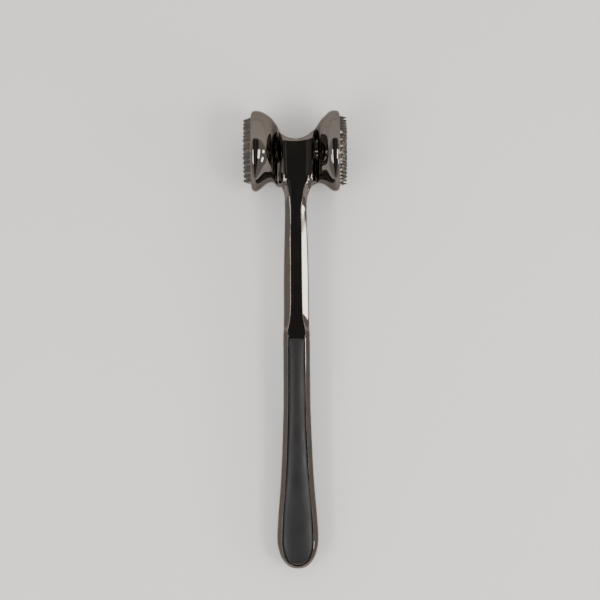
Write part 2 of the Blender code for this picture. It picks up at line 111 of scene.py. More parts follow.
# ------------------------------------------------------------------------------ modelling


class Part(Enum):
    """What is picked on a piece in edit mode."""

    FACES = "FACE"
    EDGES = "EDGE"


def to_unit(value: float) -> float:
    """Limits a value to the range from 0 to 1."""
    return min(max(value, 0.0), 1.0)


def quarter_round(x: float) -> float:
    """Height of a round edge of radius 1 at a distance from its middle."""
    return math.sqrt(max(1 - x**2, 0.0))


def closed(loop: Sequence[int]) -> list[int]:
    """A row of tags with its first one again at the end."""
    return [*loop, loop[0]]


def deselect_everything() -> None:
    """Leaves object mode with nothing selected."""
    if bpy.context.object and bpy.context.object.mode != "OBJECT":
        bpy.ops.object.mode_set(mode="OBJECT")
    bpy.ops.object.select_all(action="DESELECT")


def make_active(piece: Piece) -> None:
    """Selects one piece alone and makes it the active one."""
    deselect_everything()
    piece.select_set(True)
    bpy.context.view_layer.objects.active = piece


def settle(piece: Piece) -> None:
    """Writes an object's place, turn and scale into its mesh."""
    make_active(piece)
    bpy.ops.object.transform_apply(location=True, rotation=True, scale=True)


def pick(piece: Piece, part: Part, wanted: Callable[[object], bool]) -> None:
    """Selects what is wanted on a piece in edit mode, and nothing else.

    Args:
        piece: The piece.
        part: Whether faces or edges are picked.
        wanted: Says whether one face or edge is wanted.
    """
    bpy.ops.mesh.select_all(action="DESELECT")
    bpy.ops.mesh.select_mode(type=part.value)
    shape = bmesh.from_edit_mesh(piece.data)
    for item in getattr(shape, part.name.lower()):
        if wanted(item):
            item.select_set(True)
    bmesh.update_edit_mesh(piece.data)


def extrude_in_place() -> None:
    """Extrudes the selection without moving it."""
    bpy.ops.mesh.extrude_region_move(TRANSFORM_OT_translate={"value": (0.0, 0.0, 0.0)})


def turn_faces_out() -> None:
    """Turns all faces of the piece in edit mode outwards."""
    bpy.ops.mesh.select_all(action="SELECT")
    bpy.ops.mesh.normals_make_consistent(inside=False)


def apply_modifier(piece: Piece, kind: str, **settings: object) -> None:
    """Adds one modifier to a piece and applies it.

    Args:
        piece: The piece.
        kind: The modifier's type, such as "SUBSURF".
        settings: The modifier's own settings.
    """
    make_active(piece)
    modifier = piece.modifiers.new(kind.lower(), kind)
    for name, value in settings.items():
        setattr(modifier, name, value)
    bpy.ops.object.modifier_apply(modifier=modifier.name)


class Bench:
    """A piece on the bench: a cage whose vertices carry numbered tags while it is extruded."""

    TAG = "tag"
    MERGE_DISTANCE = 1e-6
    FITTING_STEP = 0.85

    def __init__(self, name: str, ring: Sequence[Point], tags: Sequence[int]) -> None:
        """Starts a cage from a circle that is set out as its first ring.

        Args:
            name: The piece's name.
            ring: Where the first ring's points are.
            tags: A tag for each of them.
        """
        deselect_everything()
        bpy.ops.mesh.primitive_circle_add(vertices=len(ring), radius=0.01)
        self.piece = bpy.context.object
        self.piece.name = self.piece.data.name = name
        bpy.ops.object.mode_set(mode="EDIT")
        bpy.ops.mesh.select_mode(type="EDGE")
        shape = self.shape()
        layer = shape.verts.layers.int.new(self.TAG)
        for vertex, point, tag in zip(shape.verts, ring, tags):
            vertex.co = point
            vertex[layer] = tag
        self.write()

    def shape(self) -> bmesh.types.BMesh:
        """Gives the mesh that is open in edit mode."""
        shape = bmesh.from_edit_mesh(self.piece.data)
        shape.verts.ensure_lookup_table()
        return shape

    def write(self) -> None:
        """Puts the changed edit mesh back."""
        bmesh.update_edit_mesh(self.piece.data)

    def tagged(self, shape: bmesh.types.BMesh) -> dict[int, bmesh.types.BMVert]:
        """Gives each tagged vertex by its tag."""
        layer = shape.verts.layers.int[self.TAG]
        return {vertex[layer]: vertex for vertex in shape.verts}

    def places(self, tags: Iterable[int]) -> list[Point]:
        """Gives where tagged vertices are now."""
        shape = self.shape()
        vertices = self.tagged(shape)
        return [tuple(vertices[tag].co) for tag in tags]

    def select_rows(self, rows: Rows) -> None:
        """Selects the edges along rows of tags and nothing else."""
        bpy.ops.mesh.select_all(action="DESELECT")
        shape = self.shape()
        vertices = self.tagged(shape)
        for row in rows:
            for first, second in zip(row, row[1:]):
                shape.edges.get((vertices[first], vertices[second])).select_set(True)
        self.write()

    def extrude(self, rows: Rows, renamed: dict[int, int], places: dict[int, Point]) -> None:
        """Extrudes rows of edges and sets the new vertices in place.

        Args:
            rows: Rows of tags along the edges to extrude.
            renamed: The new vertex's tag for each old tag.
            places: Where each new tag goes.
        """
        self.select_rows(rows)
        extrude_in_place()
        shape = self.shape()
        layer = shape.verts.layers.int[self.TAG]
        for vertex in shape.verts:
            if vertex.select:
                vertex[layer] = renamed[vertex[layer]]
                vertex.co = places[vertex[layer]]
        self.write()

    def extrude_loop(self, old: Sequence[int], new: Sequence[int], points: Sequence[Point]) -> None:
        """Extrudes a closed row of tags onto new tags at new points."""
        self.extrude([closed(old)], dict(zip(old, new)), dict(zip(new, points)))

    def delete_faces(self, tags: set[int]) -> None:
        """Deletes the faces whose corners all carry one of the tags."""
        shape = self.shape()
        layer = shape.verts.layers.int[self.TAG]
        pick(self.piece, Part.FACES, lambda face: all(vertex[layer] in tags for vertex in face.verts))
        bpy.ops.mesh.delete(type="FACE")
        bpy.ops.mesh.select_mode(type="EDGE")

    def fill(self, loop: Sequence[int]) -> None:
        """Closes a loop of tags with one face."""
        self.select_rows([closed(loop)])
        bpy.ops.mesh.edge_face_add()

    def bridge(self, first: Sequence[int], second: Sequence[int]) -> None:
        """Joins two rows of tags with faces."""
        self.select_rows([first, second])
        bpy.ops.mesh.bridge_edge_loops()

    def merge(self) -> None:
        """Joins vertices that lie on each other and turns all faces outwards."""
        bpy.ops.mesh.select_all(action="SELECT")
        bpy.ops.mesh.remove_doubles(threshold=self.MERGE_DISTANCE)
        turn_faces_out()

    def crease(self, rows: Rows, value: float) -> None:
        """Holds the edges along rows of tags sharp when the cage is subdivided.

        Args:
            rows: The rows of tags.
            value: How sharp, from 0 to 1.
        """
        shape = self.shape()
        layers = shape.edges.layers.float
        layer = layers.get("crease_edge") or layers.new("crease_edge")
        vertices = self.tagged(shape)
        for row in rows:
            for first, second in zip(row, row[1:]):
                edge = shape.edges.get((vertices[first], vertices[second]))
                if edge:
                    edge[layer] = value
        self.write()

    def crease_corners(self, tags: Iterable[int], value: float) -> None:
        """Holds single cage corners tight when the cage is subdivided.

        Args:
            tags: The corners' tags.
            value: How tight, from 0 to 1.
        """
        shape = self.shape()
        layers = shape.verts.layers.float
        layer = layers.get("crease_vert") or layers.new("crease_vert")
        vertices = self.tagged(shape)
        for tag in tags:
            vertices[tag][layer] = value
        self.write()

    def finish(self, levels: int, fitting_rounds: int) -> Piece:
        """Fits the cage so that the smooth skin passes through its points, then subdivides it.

        Args:
            levels: Subdivision levels.
            fitting_rounds: Times the cage is corrected.

        Returns:
            The finished piece.
        """
        bpy.ops.object.mode_set(mode="OBJECT")
        mesh = self.piece.data
        wanted = [vertex.co.copy() for vertex in mesh.vertices]
        modifier = self.piece.modifiers.new("skin", "SUBSURF")
        modifier.levels = modifier.render_levels = 1
        for _ in range(fitting_rounds):
            evaluated = self.piece.evaluated_get(bpy.context.evaluated_depsgraph_get())
            limit = evaluated.to_mesh()
            reached = [limit.vertices[i].co.copy() for i in range(len(wanted))]
            evaluated.to_mesh_clear()
            for vertex, target, now in zip(mesh.vertices, wanted, reached):
                vertex.co += (target - now) * self.FITTING_STEP
            mesh.update()
        modifier.levels = modifier.render_levels = levels
        make_active(self.piece)
        bpy.ops.object.modifier_apply(modifier=modifier.name)
        mesh.attributes.remove(mesh.attributes[self.TAG])
        return self.piece


# ------------------------------------------------------------------------------ node tools


class NodeSheet:
    """A node tree being laid out, with short ways to add and wire nodes."""

    def __init__(self, tree: bpy.types.NodeTree) -> None:
        """Starts on a tree."""
        self.tree = tree

    def add(self, kind: str, label: str = "", **settings: object) -> Node:
        """Adds a node.

        Args:
            kind: Its type, without the "ShaderNode" in front.
            label: What it is for.
            settings: Its own settings.

        Returns:
            The node.
        """
        node = self.tree.nodes.new(kind if kind.startswith("Node") else "ShaderNode" + kind)
        node.label = label
        for name, value in settings.items():
            setattr(node, name, value)
        return node

    def put(self, socket: Socket, value: object) -> None:
        """Wires a value into a socket, or sets a number or a colour there."""
        if isinstance(value, Socket):
            self.tree.links.new(value, socket)
        else:
            socket.default_value = (*value, 1.0) if socket.type == "RGBA" else value

    def feed(self, node: Node, **values: object) -> Node:
        """Feeds a node's named inputs.

        Args:
            node: The node.
            values: A socket, number or colour for each input, with spaces written as underscores.

        Returns:
            The same node.
        """
        for name, value in values.items():
            self.put(node.inputs[name.replace("_", " ")], value)
        return node

    def place(self) -> Socket:
        """Coordinates on the piece, in metres."""
        return self.add("TexCoord", label="place on the piece").outputs["Object"]

    def stretched(self, place: Socket, scale: Point) -> Socket:
        """Scales coordinates, which draws a pattern out along the smaller scales."""
        return self.feed(self.add("Mapping"), Vector=place, Scale=scale).outputs["Vector"]

    def math(self, operation: str, first: object, second: object) -> Socket:
        """Adds a Math node fed by sockets or numbers and gives its output."""
        node = self.add("Math", operation=operation)
        self.put(node.inputs[0], first)
        self.put(node.inputs[1], second)
        return node.outputs[0]

    def times(self, first: object, second: object) -> Socket:
        """Multiplies two sockets or numbers."""
        return self.math("MULTIPLY", first, second)

    def plus(self, first: object, *others: object) -> Socket:
        """Adds up sockets or numbers."""
        for other in others:
            first = self.math("ADD", first, other)
        return first

    def spread(self, value: Socket, low: float, high: float, onto: Range = (0.0, 1.0)) -> Socket:
        """Maps a range of values smoothly onto another.

        Args:
            value: What is mapped.
            low: Value that becomes the first end of the result.
            high: Value that becomes its second end.
            onto: Both ends of the result.

        Returns:
            The mapped value.
        """
        node = self.add("MapRange", interpolation_type="SMOOTHSTEP")
        self.feed(node, Value=value, From_Min=low, From_Max=high, To_Min=onto[0], To_Max=onto[1])
        return node.outputs["Result"]

    def noise(self, place: Socket, scale: object, detail: float = 3.0, roughness: float = 0.5) -> Socket:
        """Adds a noise texture and gives its value."""
        node = self.feed(self.add("TexNoise"), Vector=place, Scale=scale, Detail=detail, Roughness=roughness)
        return node.outputs["Fac"]

    def cells(self, place: Socket, scale: object, feature: str = "F1") -> Outputs:
        """Adds a cell texture and gives its outputs."""
        return self.feed(self.add("TexVoronoi", feature=feature), Vector=place, Scale=scale).outputs

    def blend(self, mask: Socket, first: object, second: object) -> Socket:
        """Mixes two colours by a mask.

        Args:
            mask: 0 where the first colour shows, 1 where the second does.
            first: A socket or a colour.
            second: A socket or a colour.

        Returns:
            The mixed colour.
        """
        node = self.add("Mix", data_type="RGBA")
        self.put(node.inputs["Factor"], mask)
        self.put(node.inputs[6], first)
        self.put(node.inputs[7], second)
        return node.outputs[2]

    def bump(self, height: Socket, depth: float, strength: float, under: Socket | None = None) -> Socket:
        """Turns a height into a normal.

        Args:
            height: The height, about 0 to 1.
            depth: How far 1 stands out.
            strength: How much of it shows.
            under: A normal that it lies on.

        Returns:
            The bumped normal.
        """
        node = self.feed(self.add("Bump"), Height=height, Distance=depth, Strength=strength)
        if under is not None:
            self.put(node.inputs["Normal"], under)
        return node.outputs["Normal"]


class Effect(Enum):
    """A pattern that several finishes share: its group's name, inputs and outputs."""

    HAZE = ("handling_haze", ("Scale", "Clean", "Hazed"), ("Roughness", "Mask"))
    GRAIN = ("moulded_grain", ("Scale", "Swell"), ("Height", "Mottle"))
    WEAR = ("edge_wear", ("Scale", "Amount"), ("Edges", "Corners"))
    DUST = ("dust_flecks", ("Scale", "Cover"), ("Flecks",))


class SharedEffects:
    """Node groups that more than one finish places with its own values."""

    @classmethod
    def place(cls, sheet: NodeSheet, effect: Effect, **values: float) -> Outputs:
        """Places a pattern in a material.

        Args:
            sheet: The material's sheet.
            effect: The pattern.
            values: A value for each of its inputs.

        Returns:
            The group node's outputs.
        """
        name = effect.value[0]
        tree = bpy.data.node_groups.get(name) or cls._build(effect)
        return sheet.feed(sheet.add("Group", label=name, node_tree=tree), **values).outputs

    @classmethod
    def _build(cls, effect: Effect) -> bpy.types.NodeTree:
        """Builds the node group of a pattern.

        Args:
            effect: The pattern.

        Returns:
            The group.
        """
        name, inputs, outputs = effect.value
        tree = bpy.data.node_groups.new(name, "ShaderNodeTree")
        for labels, direction in ((inputs, "INPUT"), (outputs, "OUTPUT")):
            for label in labels:
                tree.interface.new_socket(name=label, in_out=direction, socket_type="NodeSocketFloat")
        builders = {
            Effect.HAZE: cls._haze,
            Effect.GRAIN: cls._grain,
            Effect.WEAR: cls._wear,
            Effect.DUST: cls._dust,
        }
        sheet = NodeSheet(tree)
        entry = sheet.add("NodeGroupInput").outputs
        sheet.feed(sheet.add("NodeGroupOutput"), **builders[effect](sheet, entry, sheet.place()))
        return tree

    @staticmethod
    def _haze(sheet: NodeSheet, entry: Outputs, place: Socket) -> dict[str, Socket]:
        """Soft smudges and fine wipe marks left on a polished surface."""
        broad = sheet.noise(place, entry["Scale"], detail=4.0, roughness=0.6)
        streaks = sheet.noise(sheet.stretched(place, (9.0, 1.0, 9.0)), 95.0, detail=5.0, roughness=0.65)
        mask = sheet.times(sheet.spread(broad, 0.42, 0.68), sheet.spread(streaks, 0.3, 0.72, (0.35, 1.0)))
        span = sheet.math("SUBTRACT", entry["Hazed"], entry["Clean"])
        return {"Roughness": sheet.plus(sheet.times(mask, span), entry["Clean"]), "Mask": mask}

    @staticmethod
    def _grain(sheet: NodeSheet, entry: Outputs, place: Socket) -> dict[str, Socket]:
        """Even fine grain with a slow swell under it."""
        fine = sheet.noise(place, entry["Scale"], detail=2.0, roughness=0.55)
        cells = sheet.cells(place, entry["Scale"], "SMOOTH_F1")
        slow = sheet.noise(place, 55.0)
        height = sheet.times(fine, sheet.spread(cells["Distance"], 0.0, 0.7, (0.4, 1.0)))
        return {"Height": sheet.plus(height, sheet.times(slow, entry["Swell"])), "Mottle": slow}

    @staticmethod
    def _wear(sheet: NodeSheet, entry: Outputs, place: Socket) -> dict[str, Socket]:
        """Broken-up mask of edges that stand out, and a mask of hollow corners that finishes use for painted
        shade.
        """
        pointed = sheet.add("NewGeometry").outputs["Pointiness"]
        breaks = sheet.spread(sheet.noise(place, entry["Scale"], detail=4.0, roughness=0.7), 0.35, 0.62)
        edges = sheet.times(sheet.spread(pointed, 0.53, 0.60), breaks)
        # Mask of hollow corners; it carries painted shade, not dirt.
        corners = sheet.spread(pointed, 0.495, 0.44)
        masks = {"Edges": edges, "Corners": corners}
        return {label: sheet.times(mask, entry["Amount"]) for label, mask in masks.items()}

    @staticmethod
    def _dust(sheet: NodeSheet, entry: Outputs, place: Socket) -> dict[str, Socket]:
        """Sparse tiny flecks."""
        cells = sheet.cells(place, entry["Scale"])
        dots = sheet.spread(cells["Distance"], 0.16, 0.07)
        shades = sheet.feed(sheet.add("SeparateColor"), Color=cells["Color"]).outputs
        return {"Flecks": sheet.times(dots, sheet.math("LESS_THAN", shades["Red"], entry["Cover"]))}


# ------------------------------------------------------------------------------ finishes


def shaded(colour: Point, shares: Point) -> Point:
    """A colour with each of its channels made stronger or weaker."""
    return tuple(channel * share for channel, share in zip(colour, shares))


class Finish:
    """A finish that makes its own material."""

    name: str = "finish"

    def lay_out(self, sheet: NodeSheet) -> dict[str, object]:
        """Gives what feeds each input of the surface, with spaces written as underscores."""
        raise NotImplementedError

    def material(self) -> bpy.types.Material:
        """Gives the finish's material, and makes it the first time."""
        name = "looks_" + self.name
        known = bpy.data.materials.get(name)
        if known:
            return known
        material = bpy.data.materials.new(name)
        material.use_nodes = True
        material.node_tree.nodes.clear()
        sheet = NodeSheet(material.node_tree)
        surface = sheet.feed(sheet.add("BsdfPrincipled"), **self.lay_out(sheet))
        sheet.feed(sheet.add("OutputMaterial"), Surface=surface.outputs["BSDF"])
        return material

    def dress(self, piece: Piece) -> None:
        """Gives a piece this finish all over."""
        material = self.material()
        if piece.material_slots:
            for slot in piece.material_slots:
                slot.link = "OBJECT"
                slot.material = material
        else:
            piece.data.materials.append(material)


@dataclass(frozen=True)
class BlackNickel(Finish):
    """Bright black-nickel plating over a polished casting."""

    name: str = "black_nickel"
    colour: Point = (0.135, 0.125, 0.118)
    warming: Point = (1.06, 1.0, 0.94)
    worn_colour: Point = (0.32, 0.30, 0.28)
    # Near-black colour of the painted shade laid into hollow corners.
    hollow_shade_colour: Point = (0.02, 0.018, 0.016)
    grazing: Point = (0.55, 0.53, 0.51)
    clean: float = 0.035
    hazed: float = 0.10
    ripple_depth: float = 0.00004
    brush_depth: float = 0.0000012
    wear: float = 0.35
    # How strongly hollow corners are darkened with painted shade.
    hollow_shade: float = 0.0

    def lay_out(self, sheet: NodeSheet) -> dict[str, object]:
        """Plating with a slow polish ripple, smudges, thin bright edges and painted shade in its hollow
        corners.
        """
        place = sheet.place()
        haze = SharedEffects.place(sheet, Effect.HAZE, Scale=70.0, Clean=self.clean, Hazed=self.hazed)
        wear = SharedEffects.place(sheet, Effect.WEAR, Scale=1100.0, Amount=self.wear)
        dust = SharedEffects.place(sheet, Effect.DUST, Scale=520.0, Cover=0.10)
        tint = sheet.spread(sheet.noise(place, 34.0, detail=2.0), 0.3, 0.7)
        plated = sheet.blend(tint, self.colour, shaded(self.colour, self.warming))
        smudged = sheet.blend(sheet.times(haze["Mask"], 0.12), plated, self.worn_colour)
        worn = sheet.blend(wear["Edges"], smudged, self.worn_colour)
        flecks, edges = sheet.times(dust["Flecks"], 0.18), sheet.times(wear["Edges"], 0.12)
        ripple = sheet.noise(place, 105.0, detail=1.5, roughness=0.45)
        brushed = sheet.noise(sheet.stretched(place, (1.0, 0.05, 1.0)), 5200.0, detail=2.0, roughness=0.6)
        return {
            # Painted shade: hollow corners are darkened towards a near-black colour.
            "Base_Color": sheet.blend(sheet.times(wear["Corners"], self.hollow_shade), worn, self.hollow_shade_colour),
            "Roughness": sheet.plus(haze["Roughness"], flecks, edges),
            "Normal": sheet.bump(brushed, self.brush_depth, 0.35, sheet.bump(ripple, self.ripple_depth, 0.5)),
            "Metallic": 1.0,
            "Specular_Tint": self.grazing,
        }


@dataclass(frozen=True)
class SoftTouch(Finish):
    """Matt soft-touch plastic with a fine moulded grain."""

    name: str = "soft_touch"
    colour: Point = (0.0125, 0.0125, 0.0135)
    mottling: Point = (1.25, 1.25, 1.25)
    rubbed_colour: Point = (0.026, 0.026, 0.028)
    dust_colour: Point = (0.22, 0.21, 0.20)
    grain_depth: float = 0.00006

    def lay_out(self, sheet: NodeSheet) -> dict[str, object]:
        """Grain, a slow mottle, rubbed edges and a little dust."""
        grain = SharedEffects.place(sheet, Effect.GRAIN, Scale=2400.0, Swell=0.25)
        wear = SharedEffects.place(sheet, Effect.WEAR, Scale=420.0, Amount=0.55)
        haze = SharedEffects.place(sheet, Effect.HAZE, Scale=45.0, Clean=0.47, Hazed=0.34)
        dust = SharedEffects.place(sheet, Effect.DUST, Scale=900.0, Cover=0.12)
        patches = sheet.spread(grain["Mottle"], 0.35, 0.7)
        mottled = sheet.blend(patches, self.colour, shaded(self.colour, self.mottling))
        rubbed = sheet.blend(wear["Edges"], mottled, self.rubbed_colour)
        return {
            "Base_Color": sheet.blend(sheet.times(dust["Flecks"], 0.35), rubbed, self.dust_colour),
            "Roughness": haze["Roughness"],
            "Normal": sheet.bump(grain["Height"], self.grain_depth, 0.35),
            "Specular_IOR_Level": 0.34,
            "Sheen_Weight": 0.03,
            "Sheen_Roughness": 0.45,
        }


@dataclass(frozen=True)
class ZincSteel(Finish):
    """Zinc-plated steel, turned or rolled."""

    name: str = "zinc_steel"
    colour: Point = (0.56, 0.55, 0.52)
    tarnish: Point = (0.36, 0.34, 0.30)
    worn_colour: Point = (0.68, 0.67, 0.65)
    mark_depth: float = 0.000008

    def lay_out(self, sheet: NodeSheet) -> dict[str, object]:
        """Crystalline plating with dull patches and turning marks."""
        haze = SharedEffects.place(sheet, Effect.HAZE, Scale=320.0, Clean=0.22, Hazed=0.42)
        wear = SharedEffects.place(sheet, Effect.WEAR, Scale=1500.0, Amount=0.8)
        dulled = sheet.blend(haze["Mask"], self.colour, self.tarnish)
        marks = sheet.noise(sheet.stretched(sheet.place(), (1.0, 0.08, 0.08)), 6500.0, detail=2.0)
        return {
            "Base_Color": sheet.blend(wear["Edges"], dulled, self.worn_colour),
            "Roughness": haze["Roughness"],
            "Normal": sheet.bump(marks, self.mark_depth, 0.5),
            "Metallic": 1.0,
        }


@dataclass(frozen=True)
class MouldedRubber(Finish):
    """Matt black rubber with bloom."""

    name: str = "moulded_rubber"
    colour: Point = (0.022, 0.022, 0.022)
    bloom: Point = (0.075, 0.074, 0.070)
    grain_depth: float = 0.00004

    def lay_out(self, sheet: NodeSheet) -> dict[str, object]:
        """Fine grain under a patchy grey bloom."""
        grain = SharedEffects.place(sheet, Effect.GRAIN, Scale=1500.0, Swell=0.4)
        haze = SharedEffects.place(sheet, Effect.HAZE, Scale=210.0, Clean=0.62, Hazed=0.82)
        return {
            "Base_Color": sheet.blend(sheet.times(haze["Mask"], 0.6), self.colour, self.bloom),
            "Roughness": haze["Roughness"],
            "Normal": sheet.bump(grain["Height"], self.grain_depth, 0.6),
        }


@dataclass(frozen=True)
class TapeFoam(Finish):
    """Open-celled foam of a double-sided tape."""

    name: str = "tape_foam"
    colour: Point = (0.44, 0.42, 0.37)
    # Dark colour of the painted shade in the foam's cells.
    pore_shade_colour: Point = (0.24, 0.22, 0.19)
    cell_depth: float = 0.0001

    def lay_out(self, sheet: NodeSheet) -> dict[str, object]:
        """Pale foam, darkened with painted shade where its cells are deep."""
        place = sheet.place()
        depth = sheet.spread(sheet.cells(place, 3200.0)["Distance"], 0.1, 0.6)
        return {
            # Painted shade: the cells are darker where the bump makes them deeper.
            "Base_Color": sheet.blend(depth, self.pore_shade_colour, self.colour),
            "Roughness": sheet.spread(sheet.noise(place, 400.0), 0.2, 0.8, (0.8, 0.95)),
            "Normal": sheet.bump(depth, self.cell_depth, 0.7),
        }


@dataclass(frozen=True)
class PaleFloor(Finish):
    """Plain pale studio floor."""

    name: str = "pale_floor"
    colour: Point = (0.88, 0.87, 0.86)
    dimming: Point = (0.985, 0.985, 0.985)

    def lay_out(self, sheet: NodeSheet) -> dict[str, object]:
        """Matt and nearly even."""
        place = sheet.place()
        slow = sheet.spread(sheet.noise(place, 3.0), 0.3, 0.7)
        return {
            "Base_Color": sheet.blend(slow, self.colour, shaded(self.colour, self.dimming)),
            "Roughness": sheet.spread(sheet.noise(place, 40.0), 0.2, 0.8, (0.75, 0.85)),
        }


def complete(piece: Piece, place: RestFrame, smooth_angle: float, finish: Finish) -> Piece:
    """Lays a shaped piece down, shades it smooth and dresses it.

    Args:
        piece: The shaped piece.
        place: Where the upright frame lies.
        smooth_angle: Edges sharper than this many degrees stay sharp.
        finish: The piece's finish.

    Returns:
        The same piece.
    """
    place.lay(piece)
    make_active(piece)
    bpy.ops.object.shade_smooth_by_angle(angle=math.radians(smooth_angle))
    finish.dress(piece)
    return piece


# ------------------------------------------------------------------------------ handle form


@dataclass(frozen=True)
class HandleForm:
    """Plan and section of the handle, from the hub down to the rounded end."""

    stations: tuple[tuple[float, float, float, float], ...] = (
        # height, half width, half width of the front flat, half thickness
        (0.0064, 0.0082, 0.0068, 0.0054),
        (0.0050, 0.0088, 0.0072, 0.0070),
        (-0.0080, 0.0084, 0.0064, 0.0070),
        (-0.0160, 0.0082, 0.0060, 0.0070),
        (-0.0210, 0.0072, 0.0046, 0.0068),
        (-0.0260, 0.0060, 0.0036, 0.0066),
        (-0.0320, 0.0061, 0.0033, 0.0064),
        (-0.0700, 0.0070, 0.0034, 0.0062),
        (-0.0900, 0.0071, 0.0037, 0.0063),
        (-0.1000, 0.00715, 0.0050, 0.0066),
        (-0.1300, 0.0072, 0.0050, 0.0070),
        (-0.1700, 0.0084, 0.0062, 0.0073),
        (-0.1900, 0.0097, 0.0075, 0.0074),
        (-0.2100, 0.0111, 0.0089, 0.0075),
    )
    end_length: float = 0.0178
    end_roundness: float = 2.2
    end_thinning: float = 0.55
    end_fullness: float = 0.93
    pocket_top: float = -0.1018
    rim: float = 0.0025
    rim_at_end: float = 0.0017
    rim_narrowing: float = 1.6
    web_half: float = 0.0015

    TIP = 2.0
    NEAR_TIP = 1.999
    OUTLINE_STEP = 0.004

    @property
    def end_start(self) -> float:
        """Height where the rounded end begins."""
        return self.stations[-1][0]

    def _slope(self, index: int, column: int) -> float:
        """Change of a size per metre at a station, level at turning points."""
        if index in (0, len(self.stations) - 1):
            return 0.0
        above, here, below = self.stations[index - 1 : index + 2]
        before = (here[column] - above[column]) / (above[0] - here[0])
        after = (below[column] - here[column]) / (here[0] - below[0])
        return 0.0 if before * after <= 0 else 2 * before * after / (before + after)

    def sizes(self, y: float) -> tuple[float, float, float]:
        """Sizes of the section at a height.

        Args:
            y: The height, from the head's middle.

        Returns:
            Half width, half width of the front flat and half thickness.
        """
        index = 0
        while index < len(self.stations) - 2 and y < self.stations[index + 1][0]:
            index += 1
        upper, lower = self.stations[index], self.stations[index + 1]
        span = upper[0] - lower[0]
        t = to_unit((upper[0] - y) / span)
        found = []
        for column in (1, 2, 3):
            found.append(
                (2 * t**3 - 3 * t**2 + 1) * upper[column]
                + (t**3 - 2 * t**2 + t) * self._slope(index, column) * span
                + (3 * t**2 - 2 * t**3) * lower[column]
                + (t**3 - t**2) * self._slope(index + 1, column) * span
            )
        return found[0], found[1], found[2]

    def edge(self, t: float) -> Vector:
        """Right-hand outline of the grip.

        Args:
            t: 0 at the pocket's top, 1 where the rounded end starts and 2 at the tip.

        Returns:
            The point, across and along the handle.
        """
        if t <= 1.0:
            y = self.pocket_top + (self.end_start - self.pocket_top) * t
            return Vector((self.sizes(y)[0], y))
        angle = math.radians(90.0 * min(t - 1.0, 1.0))
        power = 2.0 / self.end_roundness
        x = self.sizes(self.end_start)[0] * max(math.cos(angle), 0.0) ** power
        return Vector((x, self.end_start - self.end_length * math.sin(angle) ** power))

    def outward(self, t: float) -> Vector:
        """Direction straight out of the outline at t."""
        if t >= self.NEAR_TIP:
            return Vector((0.0, -1.0))
        along = self.edge(min(t + self.OUTLINE_STEP, self.TIP)) - self.edge(t - self.OUTLINE_STEP)
        return Vector((-along.y, along.x)).normalized()

    def inset(self, t: float, distance: float) -> Vector:
        """Point on the outline at t, moved inwards."""
        eased = distance + self.rim_change(t) * min(distance / self.rim, 1.0)
        return self.edge(t) - self.outward(t) * eased

    def rim_change(self, t: float) -> float:
        """Change of the rim's width towards the tip."""
        return (self.rim_at_end - self.rim) * to_unit((t - 1.0) * self.rim_narrowing)

    def half_thickness(self, t: float) -> float:
        """Half thickness of the rim at t."""
        if t <= 1.0:
            return self.sizes(self.edge(t).y)[2]
        return self.sizes(self.end_start)[2] * self.thinning(self.edge(t).y)

    def thinning(self, y: float) -> float:
        """Share of the thickness that is left at a height in the rounded end."""
        past = to_unit((self.end_start - y) / self.end_length)
        return 1 - self.end_thinning * (1 - math.sqrt(1 - (self.end_fullness * past) ** 3))


# ------------------------------------------------------------------------------ body


@dataclass(frozen=True)
class BellColumn:
    """Radii of a bell at one distance from the head's middle."""

    x: float
    above: float
    below: float
    front: float
    squareness: float = 1.0

    def ring(self, side: Side, count: int) -> list[Point]:
        """Ring of points round the head's axis, from the top over the front.

        Args:
            side: End of the head that the bell is on.
            count: Points on the ring.

        Returns:
            The ring.
        """
        points = []
        for k in range(count):
            angle = 2 * math.pi * k / count
            rise, depth = math.cos(angle), math.sin(angle)
            y = rise * (self.above if rise > 0 else self.below)
            if rise < 0:
                depth = math.copysign(abs(depth) ** self.squareness, depth)
            points.append((side.value * self.x, y, self.front * depth))
        return points


@dataclass(frozen=True)
class HubColumn:
    """Section through the hub at one distance to the side of the hub's middle."""

    offset: float
    above: float
    depth: float
    foot: float
    squareness: float
    heel: tuple[Point, Point] = ((0.0, -0.018, 0.004), (0.0, -0.018, 0.0))
    waist: float = 0.90

    ARC_ROWS = 5
    FRONT_ROWS = 4
    WAIST_TOP = 0.004
    WAIST_LENGTH = 0.020

    def ring(self, middle: float, count: int) -> list[Point]:
        """Ring of points from the top over the front and back up the rear.

        Args:
            middle: Where the hub's middle is along the head.
            count: Points on the ring.

        Returns:
            The ring.
        """
        power = 2.0 / self.squareness
        rows = []
        for k in range(self.ARC_ROWS):
            angle = 2 * math.pi * k / count
            rows.append((self.above * math.cos(angle) ** power, self.depth * math.sin(angle) ** power))
        rows += [(self.foot * i / (self.FRONT_ROWS - 1), self.depth) for i in range(self.FRONT_ROWS)]
        half = []
        for y, z in rows:
            down = to_unit((self.WAIST_TOP - y) / self.WAIST_LENGTH)
            half.append((middle + self.offset * (1 - (1 - self.waist) * down), y, z))
        half += self.heel
        return (half + [(x, y, -z) for x, y, z in reversed(half[1:-1])])[:count]


